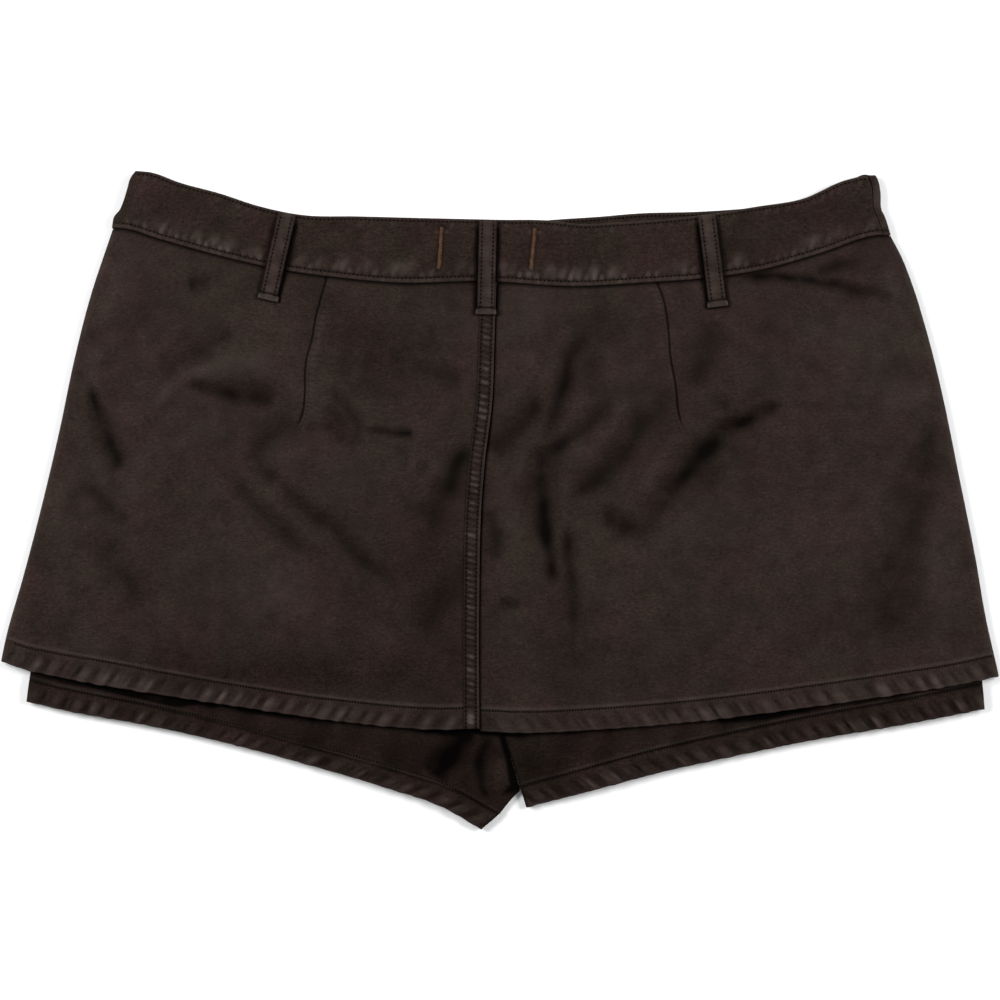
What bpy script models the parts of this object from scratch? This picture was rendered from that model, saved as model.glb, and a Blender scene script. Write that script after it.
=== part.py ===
"""Skort laid flat with its back uppermost: waistband, belt loops, skirt and the shorts under it.

The garment lies on the plane z = 0 with its waist towards +Y. Tables and heights are in
millimetres, x and y from the middle of the garment as it lies, and z from what it lies on.
Every piece is one wall of cloth, spread between its four cut edges and given its thickness.
"""

import math
from collections import namedtuple

import bmesh
import bpy
import numpy as np
from mathutils import Vector
from mathutils.bvhtree import BVHTree

MM = 0.001

# Cloth
WALL = 1.0
HEM_WALL = 2.0
HEM_DEPTH = 11.0
HEM_STEP = 2.0
SEAM_GAP = 0.3
LAYER_GAP = 0.4
PITCH = WALL + LAYER_GAP

# Waistband: two bands, one above the other, joined at the sides
BAND_WALL = 2.4
BAND_LIFT = 3.2
BAND_SIDE_OVERLAP = 5.0
BAND_ROLL = 0.6
TURN_COLUMNS = 6

# Centre-back seam, felled towards the left half
FELL_WIDTH = 9.7
FELL_WALL = 1.9

# Belt loops
LOOP_WIDTH = 10.4
LOOP_WALL = 1.6
LOOP_ARCH = 1.8
LOOP_TACK_LENGTH = 2.6
LOOP_TACK_FLARE = 1.0
LOOP_SEAT = 0.35
LOOP_ROWS = 16
LOOP_CARRIERS = ("waistband_back", "skirt_back_left", "skirt_back_right")

# Air between the layers where they puff up, and how far inside an edge they reach their full height
SHORTS_FRONT_AIR = 0.9
SHORTS_BACK_AIR = 2.0
SKIRT_AIR = 5.0
LEG_AIR = 1.2
LEG_REACH = 30.0
SEAM_REACH = 60.0
SIDE_REACH = 70.0
HEM_REACH = 110.0
HEM_SHARE = 0.35
LEG_SHOW = 20.0
LEG_DROP_START = 8.0
LEG_DROP = 16.0
FRONT_HEM_UP = 1.0
SIDE_ROLL = 3.2
ROLL_LEAN = 0.5

# Hem waves pulled up by the topstitching
WAVE_PITCH = 11.0
WAVE_HEIGHT = 0.35
WAVE_FADE = 4.0
WAVE_DRIFTS = ((1.1, 31.0, 0.0), (0.7, 13.0, 1.0))  # columns: turn, length along the hem, start
EDGE_FADE = 5.0

# Distances from an edge at which a piece's grid has a line
HEM_LANES = [0.0, 5.0, 11.0]
LEG_LANES = [17.0, 24.0]
OUTER_LEG_LANES = [32.0, 42.0, 54.0, 66.0]
INNER_LEG_LANES = [0.0, 4.0, 8.0, 12.0, 17.0, 23.0, 30.0]
FELL_LANES = [0.0, FELL_WIDTH - 0.4, FELL_WIDTH + 0.6]
ROLL_ANGLES = (0, 30, 60, 90)

CLOTH_COLOUR = (0.027, 0.019, 0.016, 1.0)
CLOTH_ROUGHNESS = 0.48

# Cut edges as they lie. Columns: x, y. Edges across run left to right, the others from waist to hem.
WAIST_EDGE = (
    (-217, 193.6), (-206, 193), (-189, 187), (-165, 180.5), (-142, 173), (-118, 168), (-83, 167),
    (0, 165), (30, 164.5), (47, 162.5), (70, 163.5), (117, 167.5), (153, 173), (177, 177), (206, 189),
    (215, 190.5), (217.5, 190),
)  # fmt: skip
FRONT_WAIST_EDGE = (
    (-217, 193.6), (-206, 192), (-189, 185), (-165, 178), (-142, 170), (-118, 165), (-83, 163),
    (0, 162.5), (35, 165.5), (58, 167), (82, 169), (117, 170), (153, 172.5), (177, 175), (206, 187.5),
    (215, 190.5), (222, 188),
)  # fmt: skip
BAND_SEAM = (
    (-228.5, 160), (-221, 159.5), (-201, 153.5), (-165, 143.5), (-127, 135), (-94, 130.5), (-60, 127.5),
    (-13, 128.5), (47, 125.5), (82, 127.5), (118, 130), (153, 135), (188.5, 145), (222, 155.5), (230.5, 156),
)  # fmt: skip
BAND_LEFT_END = ((-217, 193.6), (-219, 189), (-221.5, 182), (-223.5, 171), (-227, 167.5), (-228.5, 160))
BAND_RIGHT_END = ((222, 188), (224, 182), (225, 170.5), (227, 166.5), (230.5, 156))
SKIRT_LEFT_SIDE = (
    (-228.5, 159.5), (-242, 118.5), (-251, 83), (-260, 40), (-281.5, -47), (-291.5, -82.5), (-294, -94.5),
)  # fmt: skip
SKIRT_RIGHT_SIDE = (
    (230.5, 155.5), (237.5, 142), (242, 130.5), (253, 94.5), (261.5, 59.5), (270.5, 15), (280.5, -35),
    (286.5, -70), (294, -103.5),
)  # fmt: skip
SKIRT_LEFT_HEM = (
    (-294, -94.5), (-283.5, -98.5), (-260, -104), (-212, -112.5), (-153.5, -121.5), (-94.5, -130),
    (-35.5, -135), (-12, -134.5),
)  # fmt: skip
SKIRT_RIGHT_HEM = (
    (-12, -136), (11.5, -137), (58.5, -135), (117.5, -130), (176.5, -122.5), (235.5, -114), (271, -108.5),
    (294, -103.5),
)  # fmt: skip
CENTRE_BACK = ((-2, 128), (-3, 94.5), (-4.5, 56.5), (-8.5, 24), (-10.5, 0), (-12, -58.5), (-12, -135))
LEG_LEFT_SIDE = ((-223, 159), (-245, 83), (-262, 0), (-276.5, -101), (-279, -118.5))
LEG_RIGHT_SIDE = ((225, 155), (252, 59.5), (268, -12), (284, -107), (285.5, -123))
LEG_LEFT_HEM = (
    (-279, -118.5), (-257.5, -123.5), (-210.5, -132), (-163, -142.5), (-116, -155), (-68.5, -169),
    (-33.5, -181), (-11, -194),
)  # fmt: skip
LEG_RIGHT_HEM = (
    (15.5, -181), (47, -173), (94, -160.5), (141.5, -150), (188.5, -140.5), (235.5, -132.5), (285.5, -123),
)  # fmt: skip
SEAT_SEAM = ((-2, 128), (1.5, -136))
LEG_RIGHT_FOLD = ((1.5, -136), (15.5, -181))
LEG_LEFT_FOLD = ((1.5, -136), (12, -171))
LEG_LEFT_TURN = ((12, -171), (7, -176), (-0.5, -185), (-11, -194))

# Folds. Columns: start x, y, middle x, y, end x, y, half width, height above or below the cloth round it.
Fold = namedtuple("Fold", "start_x start_y mid_x mid_y end_x end_y spread rise")
SKIRT_FOLDS = (
    Fold(-241, 62, -231, 40, -221, 18, 5, -1.2),
    Fold(-190, 69, -154, 62, -122, 60, 6, -1.6),
    Fold(-192, 56, -178, 75, -140, 82, 14, 1.2),
    Fold(-124, 52, -140, 33, -127, 6, 6, -1.2),
    Fold(-156, 12, -139, -9, -108, -28, 7, -1.2),
    Fold(-127, 6, -106, -15, -66, -47, 7, -1.4),
    Fold(-98, 62, -89, 53, -83, 41, 6, -1.0),
    Fold(-12, 36, -23, 15, -41, -23, 8, -1.3),
    Fold(44, 100, 32, 60, 26, 36, 7, -1.0),
    Fold(26, 36, 26, -3, 35, -50, 6, -2.2),
    Fold(97, 56, 82, 35, 41, 3, 8, -1.2),
    Fold(165, 56, 142, 46, 121, 27, 7, -1.8),
    Fold(132, 40, 108, 14, 82, -12, 8, -2.2),
    Fold(244, 60, 235, -12, 227, -82, 14, -0.8),
    Fold(-150, -40, -110, -90, -60, -110, 30, -0.8),
)
LEG_FOLDS = (
    Fold(-6, -138, -16, -153, -31, -172, 5, 1.5),
    Fold(-21, -138, -30, -150, -43, -166, 5, -0.9),
    Fold(-8, -144, -11.5, -159, -11, -178, 3, -0.8),
    Fold(0, -152, 0, -162, -1, -172, 5, 1.1),
)
FOLD_STEPS = 12
FOLD_TIP = 0.2
FOLD_GROWTH = 1.6

# Belt loops. Columns: name, x and y of the top and of the bottom end of the middle line.
Loop = namedtuple("Loop", "name top_x top_y bottom_x bottom_y")
LOOPS = (
    Loop("belt_loop_left", -125.0, 168.6, -136.5, 117.5),
    Loop("belt_loop_center", -7.0, 164.8, -8.3, 109.0),
    Loop("belt_loop_right", 121.5, 167.6, 128.0, 113.5),
)

Spot = namedtuple("Spot", "x y left right top bottom past")
Lanes = namedtuple("Lanes", "count near far")


class Edge:
    """A smooth edge through its points, with a corner between tables, read by the distance along it."""

    steps = 12

    def __init__(self, *tables):
        self.tables = [np.array(table, float) for table in tables]
        points = [self.tables[0][0]]
        ends = []
        for knots in self.tables:
            points += self.smooth(knots)
            ends.append(len(points) - 1)
        self.xs, self.ys = np.array(points).T
        self.run = np.concatenate([[0.0], np.cumsum(np.hypot(np.diff(self.xs), np.diff(self.ys)))])
        self.length = float(self.run[-1])
        self.corners = self.run[ends[:-1]]

    def smooth(self, knots):
        """Points of a cubic run through the knots, after its first one."""
        gaps = np.hypot(*np.diff(knots, axis=0).T)
        slopes = np.gradient(knots, np.concatenate([[0.0], np.cumsum(gaps)]), axis=0)
        points = []
        for i, gap in enumerate(gaps):
            for t in np.arange(1, self.steps + 1) / self.steps:
                early, late = (1 + 2 * t) * (1 - t) ** 2, t * t * (3 - 2 * t)
                leaving, arriving = t * (1 - t) ** 2 * gap, t * t * (t - 1) * gap
                run = early * knots[i] + late * knots[i + 1]
                points.append(run + leaving * slopes[i] + arriving * slopes[i + 1])
        return points

    def at(self, distance):
        return np.array([np.interp(distance, self.run, self.xs), np.interp(distance, self.run, self.ys)])

    def y_at(self, x):
        return float(np.interp(x, self.xs, self.ys))

    def x_at(self, y):
        return float(np.interp(-y, -self.ys, self.xs))

    def where(self, x):
        """The distance along an edge that runs across at which it passes x."""
        return float(np.interp(x, self.xs, self.run))

    def part(self, start, end, up=0.0):
        """A stretch of the edge between two distances, moved along Y."""
        count = max(8, int((end - start) / 4))
        return Edge([self.at(distance) + (0.0, up) for distance in np.linspace(start, end, count)])

    def moved(self, right):
        return Edge(*(table + (right, 0.0) for table in self.tables))


SEAM = Edge(BAND_SEAM)
LEFT_SIDE = Edge(SKIRT_LEFT_SIDE)
RIGHT_SIDE = Edge(SKIRT_RIGHT_SIDE)
LEFT_HEM = Edge(SKIRT_LEFT_HEM)
RIGHT_HEM = Edge(SKIRT_RIGHT_HEM)
SEAM_MIDDLE = SEAM.where(CENTRE_BACK[0][0])


class Pattern:
    """A piece of cloth spread between its top, bottom, left and right edges."""

    def __init__(self, edges, across, down, past=0):
        self.edges = edges
        self.across = [self.lanes(edge.length, across) for edge in edges[:2]]
        self.down = [self.lanes(edge.length, side) for edge, side in zip(edges[2:], down)]
        self.laid = across.count
        self.columns = across.count + past
        self.rows = down[0].count

    @staticmethod
    def lanes(length, lanes):
        """Distances along an edge: fixed ones near either end, and equal steps between them."""
        start, end = lanes.near[-1], length - lanes.far[-1]
        steps = lanes.count - len(lanes.near) - len(lanes.far) + 2
        middle = np.linspace(start, end, steps + 1)
        return np.concatenate([lanes.near, middle[1:-1], length - np.array(lanes.far[::-1])])

    def spot(self, column, row):
        """The point at a column and row, with its distances from the four edges."""
        top, bottom, left, right = self.edges
        on_top, on_bottom = (np.interp(column, np.arange(len(lane)), lane) for lane in self.across)
        on_left, on_right = (np.interp(row, np.arange(len(lane)), lane) for lane in self.down)
        u = (on_top / top.length + on_bottom / bottom.length) / 2
        w = (on_left / left.length + on_right / right.length) / 2
        first = left.at(on_left) - (1 - w) * left.at(0) - w * left.at(left.length)
        last = right.at(on_right) - (1 - w) * right.at(0) - w * right.at(right.length)
        x, y = (1 - w) * top.at(on_top) + w * bottom.at(on_bottom) + (1 - u) * first + u * last
        return Spot(
            x=float(x),
            y=float(y),
            left=(1 - w) * on_top + w * on_bottom,
            right=(1 - w) * (top.length - on_top) + w * (bottom.length - on_bottom),
            top=(1 - u) * on_left + u * on_right,
            bottom=(1 - u) * (left.length - on_left) + u * (right.length - on_right),
            past=max(0.0, column - self.laid),
        )


def soft_step(value):
    value = min(1.0, max(0.0, value))
    return value * value * (3 - 2 * value)


def hem_y(x):
    return LEFT_HEM.y_at(x) if x < SKIRT_RIGHT_HEM[0][0] else RIGHT_HEM.y_at(x)


def puff(x, y):
    """How far the layers have risen here, from 0 at the seams to 1 in the middle of the skirt."""
    below_seam = soft_step((SEAM.y_at(x) - y) / SEAM_REACH)
    inside = min(x - LEFT_SIDE.x_at(y), RIGHT_SIDE.x_at(y) - x)
    above_hem = soft_step((y - hem_y(x)) / HEM_REACH)
    return below_seam * soft_step(inside / SIDE_REACH) * (HEM_SHARE + (1 - HEM_SHARE) * above_hem)


def fold_line(fold):
    """Rows of x, y and strength along a fold, on the curve that passes its start, middle and end."""
    t = np.linspace(0, 1, FOLD_STEPS + 1)
    first, middle, last = (1 - t) * (1 - 2 * t), 4 * t * (1 - t), t * (2 * t - 1)
    x = first * fold.start_x + middle * fold.mid_x + last * fold.end_x
    y = first * fold.start_y + middle * fold.mid_y + last * fold.end_y
    ends = np.clip(4 * np.minimum(t, 1 - t) + FOLD_TIP, 0, 1)
    return np.column_stack([x, y, ends])


def folded(folds):
    """A function that adds up a table's folds at a point."""
    lines = [(fold, fold_line(fold)) for fold in folds]

    def rise(x, y):
        total = 0.0
        for fold, line in lines:
            away = np.hypot(line[:, 0] - x, line[:, 1] - y) / fold.spread
            total += fold.rise * float(np.max(np.exp(-away * away) * line[:, 2]))
        return total

    return rise


skirt_folds = folded(SKIRT_FOLDS)
leg_folds = folded(LEG_FOLDS)


def hem_wave(along, above_hem):
    """Waves that the stitching pulls up in a hem, uneven in pitch, and gone above the stitches."""
    fade = 1 - soft_step((above_hem - HEM_DEPTH) / WAVE_FADE)
    drift = sum(turn * math.sin(along / length + start) for turn, length, start in WAVE_DRIFTS)
    return WAVE_HEIGHT * fade * (1 + math.sin(2 * math.pi * along / WAVE_PITCH + drift))


def shorts_front_z(spot):
    """On the skirt's front, and down on the ground past its hem."""
    past_skirt = hem_y(spot.x) - LEG_DROP_START - spot.y
    return (PITCH + SHORTS_FRONT_AIR * puff(spot.x, spot.y)) * (1 - soft_step(past_skirt / LEG_DROP))


def shorts_back_z(spot, folds):
    """On the shorts' front, held a little open in the legs."""
    air = (SHORTS_BACK_AIR - SHORTS_FRONT_AIR) * puff(spot.x, spot.y)
    shows = soft_step((hem_y(spot.x) - spot.y) / LEG_SHOW + 0.5)
    inside = min(spot.left, spot.right)
    leg = LEG_AIR * soft_step(inside / LEG_REACH) + folds * soft_step(spot.right / EDGE_FADE)
    wave = hem_wave(spot.left, spot.bottom) * soft_step(inside / EDGE_FADE)
    return shorts_front_z(spot) + PITCH + max(air, leg * shows) + wave


def skirt_back_z(spot, from_side):
    """On the shorts' back, with the side edge rolled down to the skirt's front."""
    rise = puff(spot.x, spot.y)
    folds = skirt_folds(spot.x, spot.y) * min(1.0, FOLD_GROWTH * rise)
    lift = max(SKIRT_AIR * rise + folds, SHORTS_BACK_AIR * rise)
    top = 3 * PITCH + lift + hem_wave(spot.left, spot.bottom)
    low = WALL + SEAM_GAP
    rolled = min(1.0, from_side / SIDE_ROLL)
    return low + (top - low) * math.sqrt(1 - (1 - rolled) ** 2)


def hem_wall(spot):
    return WALL + (HEM_WALL - WALL) * (1 - soft_step((spot.bottom - HEM_DEPTH) / HEM_STEP))


def felled_wall(spot):
    fell = FELL_WALL if spot.right <= FELL_WIDTH else WALL
    return max(fell, hem_wall(spot))


def plain_wall(spot):
    return WALL


def band_wall(spot):
    return BAND_WALL


def cloth_material(name):
    material = bpy.data.materials.new(name)
    material.use_nodes = True
    shader = material.node_tree.nodes["Principled BSDF"]
    shader.inputs["Base Color"].default_value = CLOTH_COLOUR
    shader.inputs["Roughness"].default_value = CLOTH_ROUGHNESS
    material.diffuse_color = CLOTH_COLOUR
    return material


def cloth_piece(name, mesh, walls, collection):
    """An object from a wall's underside, thickened upwards to the thickness given for each vertex."""
    data = bpy.data.meshes.new(name)
    mesh.to_mesh(data)
    mesh.free()
    data.shade_smooth()
    data.materials.append(cloth_material(name))
    piece = bpy.data.objects.new(name, data)
    collection.objects.link(piece)
    thickest = max(walls)
    group = piece.vertex_groups.new(name="thickness")
    for index, wall in enumerate(walls):
        group.add([index], wall / thickest, "REPLACE")
    solid = piece.modifiers.new("wall", "SOLIDIFY")
    solid.thickness = thickest * MM
    solid.offset = 1.0
    solid.vertex_group = group.name
    solid.use_even_offset = True
    solid.use_quality_normals = True
    return piece


def sew(name, pattern, place, wall, collection, fine_rows=0):
    """Makes a piece: a grid placed by place(spot), with the columns cut in three in its hem's rows."""
    mesh = bmesh.new()
    bmesh.ops.create_grid(mesh, x_segments=pattern.columns, y_segments=pattern.rows, size=1.0)
    half_row = 1.0 / pattern.rows
    hem_level = half_row * (2 * fine_rows + 1) - 1.0
    if fine_rows:
        hem_edges = [
            edge
            for edge in mesh.edges
            if max(vertex.co.y for vertex in edge.verts) < hem_level
            and abs(edge.verts[0].co.y - edge.verts[1].co.y) < half_row
        ]
        bmesh.ops.subdivide_edges(mesh, edges=hem_edges, cuts=2, use_grid_fill=True)
    walls = []
    for vertex in mesh.verts:
        column = (vertex.co.x + 1) / 2 * pattern.columns
        row = (1 - vertex.co.y) / 2 * pattern.rows
        spot = pattern.spot(column, row)
        vertex.co = Vector(place(spot)) * MM
        walls.append(wall(spot))
    return cloth_piece(name, mesh, walls, collection)


def halves(start, end, hems, left_side, right_side, centre, hem_up=0.0):
    """The cut edges of a left and a right half that meet at the middle, under the waistband's seam."""
    gap = SEAM_GAP / 2
    left_hem, right_hem = hems
    left = (
        SEAM.part(start, SEAM_MIDDLE - gap, -gap),
        left_hem.part(0.0, left_hem.length - gap, hem_up),
        left_side,
        centre.moved(-gap),
    )
    right = (
        SEAM.part(SEAM_MIDDLE + gap, end, -gap),
        right_hem.part(gap, right_hem.length, hem_up),
        centre.moved(gap),
        right_side,
    )
    return left, right


def roll_lanes(radius):
    """Distances from an edge at which a quarter roll has turned by equal angles."""
    return [radius * (1 - math.cos(math.radians(angle))) for angle in ROLL_ANGLES]


def make_skirt_back(collection):
    """Two halves that meet at the centre back, the left one carrying the felled seam."""
    roll = roll_lanes(SIDE_ROLL)
    hems = (LEFT_HEM.part(WALL, LEFT_HEM.length), RIGHT_HEM.part(0.0, RIGHT_HEM.length - WALL))
    left_edges, right_edges = halves(
        SEAM.where(BAND_SEAM[0][0] + WALL),
        SEAM.where(BAND_SEAM[-1][0] - WALL),
        hems,
        LEFT_SIDE.moved(WALL),
        RIGHT_SIDE.moved(-WALL),
        Edge(CENTRE_BACK),
    )
    down = [Lanes(16, [0.0], HEM_LANES)] * 2
    left = Pattern(left_edges, Lanes(28, roll, FELL_LANES), down)
    right = Pattern(right_edges, Lanes(28, [0.0], roll), down)

    def rolled_place(spot, from_side):
        lowered = ROLL_LEAN * (1 - min(1.0, from_side / SIDE_ROLL))
        return spot.x, spot.y - lowered, skirt_back_z(spot, from_side)

    def left_place(spot):
        return rolled_place(spot, spot.left)

    def right_place(spot):
        return rolled_place(spot, spot.right)

    sew("skirt_back_left", left, left_place, felled_wall, collection, fine_rows=2)
    sew("skirt_back_right", right, right_place, hem_wall, collection, fine_rows=2)


def make_skirt_front(collection):
    """Two plain halves flat on the ground, under all the rest."""
    hems = (LEFT_HEM, RIGHT_HEM)
    edges = halves(0.0, SEAM.length, hems, LEFT_SIDE, RIGHT_SIDE, Edge(CENTRE_BACK), FRONT_HEM_UP)

    def place(spot):
        return spot.x, spot.y, 0.0

    for side, side_edges in zip(("left", "right"), edges):
        pattern = Pattern(side_edges, Lanes(14, [0.0], [0.0]), [Lanes(8, [0.0], [0.0])] * 2)
        sew(f"skirt_front_{side}", pattern, place, plain_wall, collection)


def make_shorts(collection):
    """Front and back of each leg, hung from the waistband seam under the skirt."""
    left_edges = (
        SEAM.part(SEAM.where(LEG_LEFT_SIDE[0][0]), SEAM_MIDDLE - SEAM_GAP / 2, -SEAM_GAP / 2),
        Edge(LEG_LEFT_HEM),
        Edge(LEG_LEFT_SIDE),
        Edge(SEAT_SEAM, LEG_LEFT_FOLD, LEG_LEFT_TURN).moved(-SEAM_GAP / 2),
    )
    right_edges = (
        SEAM.part(SEAM_MIDDLE + SEAM_GAP / 2, SEAM.where(LEG_RIGHT_SIDE[0][0]), -SEAM_GAP / 2),
        Edge(LEG_RIGHT_HEM),
        Edge(SEAT_SEAM, LEG_RIGHT_FOLD).moved(SEAM_GAP / 2),
        Edge(LEG_RIGHT_SIDE),
    )

    def left_place(spot):
        return spot.x, spot.y, shorts_back_z(spot, leg_folds(spot.x, spot.y))

    def right_place(spot):
        return spot.x, spot.y, shorts_back_z(spot, 0.0)

    def front_place(spot):
        return spot.x, spot.y, shorts_front_z(spot)

    def inner_lanes(edge):
        """Lanes up from the hem to the crotch, with one at each corner of the leg's inner edge."""
        turn, crotch = edge.length - edge.corners[-1], edge.length - edge.corners[0]
        start = turn if turn < crotch else OUTER_LEG_LANES[0]
        return LEG_LANES + list(np.linspace(start, crotch, len(OUTER_LEG_LANES)))

    outer_lanes = LEG_LANES + OUTER_LEG_LANES
    left_lanes = (outer_lanes, inner_lanes(left_edges[3]))
    right_lanes = (inner_lanes(right_edges[2]), outer_lanes)
    left_across = Lanes(26, [0.0], INNER_LEG_LANES)
    right_across = Lanes(26, INNER_LEG_LANES, [0.0])
    legs = (
        ("left", left_edges, left_lanes, left_across, left_place),
        ("right", right_edges, right_lanes, right_across, right_place),
    )
    for side, edges, lanes_up, across, back_place in legs:
        back = Pattern(edges, across, [Lanes(12, [0.0], HEM_LANES + lanes) for lanes in lanes_up])
        sew(f"shorts_back_{side}", back, back_place, hem_wall, collection, fine_rows=2)
        down = [Lanes(10, [0.0], [0.0] + lanes) for lanes in lanes_up]
        front = Pattern(edges, Lanes(14, [0.0], [0.0]), down)
        sew(f"shorts_front_{side}", front, front_place, plain_wall, collection)


def make_bands(collection):
    """The back band over the two front bands. The right front one turns up round the side."""
    half = (BAND_LIFT + BAND_WALL) / 2
    right_end = Edge(BAND_RIGHT_END)
    left_roll = roll_lanes(BAND_ROLL)
    waist, front_waist = Edge(WAIST_EDGE), Edge(FRONT_WAIST_EDGE)
    overlap = SEAM.where(BAND_RIGHT_END[-1][0] - BAND_SIDE_OVERLAP)
    back = Pattern(
        (
            waist.part(BAND_WALL, waist.where(BAND_RIGHT_END[0][0] - BAND_SIDE_OVERLAP)),
            SEAM.part(BAND_WALL, overlap, SEAM_GAP / 2),
            Edge(BAND_LEFT_END).moved(BAND_WALL),
            right_end.moved(-BAND_SIDE_OVERLAP),
        ),
        Lanes(48, left_roll, [0.0]),
        [Lanes(4, [0.0], [0.0])] * 2,
    )

    def back_place(spot):
        rolled = min(1.0, spot.left / BAND_ROLL)
        return spot.x, spot.y, BAND_LIFT - BAND_ROLL + BAND_ROLL * math.sqrt(1 - (1 - rolled) ** 2)

    sew("waistband_back", back, back_place, band_wall, collection)
    middle = front_waist.where(CENTRE_BACK[0][0])
    left = Pattern(
        (
            front_waist.part(0.0, middle - SEAM_GAP / 2),
            SEAM.part(0.0, SEAM_MIDDLE - SEAM_GAP / 2, SEAM_GAP / 2),
            Edge(BAND_LEFT_END),
            Edge([front_waist.at(middle), SEAM.at(SEAM_MIDDLE)]).moved(-SEAM_GAP / 2),
        ),
        Lanes(24, [0.0], [0.0]),
        [Lanes(2, [0.0], [0.0])] * 2,
    )

    def left_place(spot):
        return spot.x, spot.y, 0.0

    sew("waistband_front_left", left, left_place, band_wall, collection)
    turned = front_waist.where(BAND_RIGHT_END[0][0] - half)
    right = Pattern(
        (
            front_waist.part(middle + SEAM_GAP / 2, turned),
            SEAM.part(SEAM_MIDDLE + SEAM_GAP / 2, SEAM.where(BAND_RIGHT_END[-1][0] - half), SEAM_GAP / 2),
            Edge([front_waist.at(middle), SEAM.at(SEAM_MIDDLE)]).moved(SEAM_GAP / 2),
            right_end.moved(-half),
        ),
        Lanes(18, [0.0], [0.0]),
        [Lanes(4, [0.0], [0.0])] * 2,
        past=TURN_COLUMNS + 1,
    )

    def right_place(spot):
        angle = math.pi * min(1.0, spot.past / TURN_COLUMNS)
        back_run = max(0.0, spot.past - TURN_COLUMNS) * (BAND_SIDE_OVERLAP - half - SEAM_GAP)
        return spot.x + half * math.sin(angle) - back_run, spot.y, half * (1 - math.cos(angle))

    sew("waistband_front_right", right, right_place, band_wall, collection)


def make_loops(collection):
    """Flat strips laid on the back, caught at the waist edge and tacked below the waistband."""
    graph = bpy.context.evaluated_depsgraph_get()
    carriers = [BVHTree.FromObject(collection.objects[name], graph) for name in LOOP_CARRIERS]

    def surface(x, y):
        hits = [tree.ray_cast(Vector((x, y, 50.0)) * MM, Vector((0, 0, -1))) for tree in carriers]
        return max([hit[0].z / MM for hit in hits if hit[0]], default=0.0)

    for loop in LOOPS:
        start, end = Vector((loop.top_x, loop.top_y)), Vector((loop.bottom_x, loop.bottom_y))
        run = end - start
        across = Vector((-run.y, run.x)).normalized()
        mesh = bmesh.new()
        bmesh.ops.create_grid(mesh, x_segments=3, y_segments=LOOP_ROWS, size=1.0)
        for vertex in mesh.verts:
            t = (1 - vertex.co.y) / 2
            tacked = (1 - t) * run.length < LOOP_TACK_LENGTH
            half_width = LOOP_WIDTH / 2 + LOOP_TACK_FLARE * tacked
            middle = start + t * run
            under = [middle + across * half_width * share for share in (-1, -0.5, 0, 0.5, 1)]
            rest = max(surface(point.x, point.y) for point in under)
            arch = LOOP_ARCH * math.sin(math.pi * t) ** 0.7
            place = middle + across * half_width * vertex.co.x
            vertex.co = Vector((place.x, place.y, rest + LOOP_SEAT + arch)) * MM
        cloth_piece(loop.name, mesh, [LOOP_WALL] * len(mesh.verts), collection)


def main():
    for existing in list(bpy.data.objects):
        bpy.data.objects.remove(existing)
    collection = bpy.data.collections.new("skort")
    bpy.context.scene.collection.children.link(collection)
    make_skirt_front(collection)
    make_shorts(collection)
    make_skirt_back(collection)
    make_bands(collection)
    bpy.context.view_layer.update()
    make_loops(collection)


main()
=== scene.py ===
"""Looks of a skort that lies flat with its back uppermost.

Tables and heights are in millimetres, x and y from the middle of the garment as it lies, and z
from what it lies on. Every cloth piece is a closed thin shell round a middle surface, which is
spread between the piece's four cut edges. Each point has a number for how much the cloth is
rubbed there together with painted highlight, and its "shade", the painted shade of any hollow,
gap or cast shadow that it lies in.
"""

import math
from collections import namedtuple

import bpy
import numpy as np
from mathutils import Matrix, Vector
from mathutils.bvhtree import BVHTree


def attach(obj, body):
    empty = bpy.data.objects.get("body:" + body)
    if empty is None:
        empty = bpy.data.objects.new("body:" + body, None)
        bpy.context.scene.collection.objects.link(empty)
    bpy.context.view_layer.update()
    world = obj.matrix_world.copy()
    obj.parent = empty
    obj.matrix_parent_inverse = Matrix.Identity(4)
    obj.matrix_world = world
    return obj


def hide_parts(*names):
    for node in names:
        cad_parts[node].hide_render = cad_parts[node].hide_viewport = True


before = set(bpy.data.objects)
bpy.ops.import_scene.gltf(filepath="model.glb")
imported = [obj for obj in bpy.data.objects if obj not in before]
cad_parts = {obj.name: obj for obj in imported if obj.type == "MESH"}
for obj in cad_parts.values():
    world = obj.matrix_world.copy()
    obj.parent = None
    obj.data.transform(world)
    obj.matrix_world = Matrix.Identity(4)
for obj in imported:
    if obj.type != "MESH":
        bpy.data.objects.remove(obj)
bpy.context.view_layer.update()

MM = 0.001

# Cloth
WALL = 1.0
HEM_WALL = 2.0
SEAM_GAP = 0.3
SIDE_SEAM_GAP = 0.12
FRONT_SEAM_DOWN = 0.45
FRONT_INSEAM_RIGHT = 0.5
LAYER_PITCH = 1.4

# Pitch of each piece's grid, across and down
SKIRT_BACK_GRID = (1.2, 1.85)
SKIRT_FRONT_GRID = (3.2, 3.2)
LEG_BACK_GRID = (1.1, 9.0)
LEG_FRONT_GRID = (3.0, 9.0)
BAND_BACK_GRID = (1.1, 1.1)
BAND_FRONT_GRID = (1.6, 1.2)
FELL_GRID = (0.65, 0.8)

# Waistband
BAND_WALL = 2.4
BAND_FRONT_WALL = 2.1
BAND_LIFT = 3.2
BAND_SIDE_OVERLAP = 5.0
BAND_TOP_STITCH = 1.9
BAND_BOTTOM_STITCH = 3.1
BAND_RADIUS = 0.9
SEAM_CRISP = 0.4

# Centre-back seam, felled towards the left half
FELL_WIDTH = 9.4
FELL_WALL = 0.9
FELL_ROWS = (2.1, 8.0)
FELL_LADDER = 3.7

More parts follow.
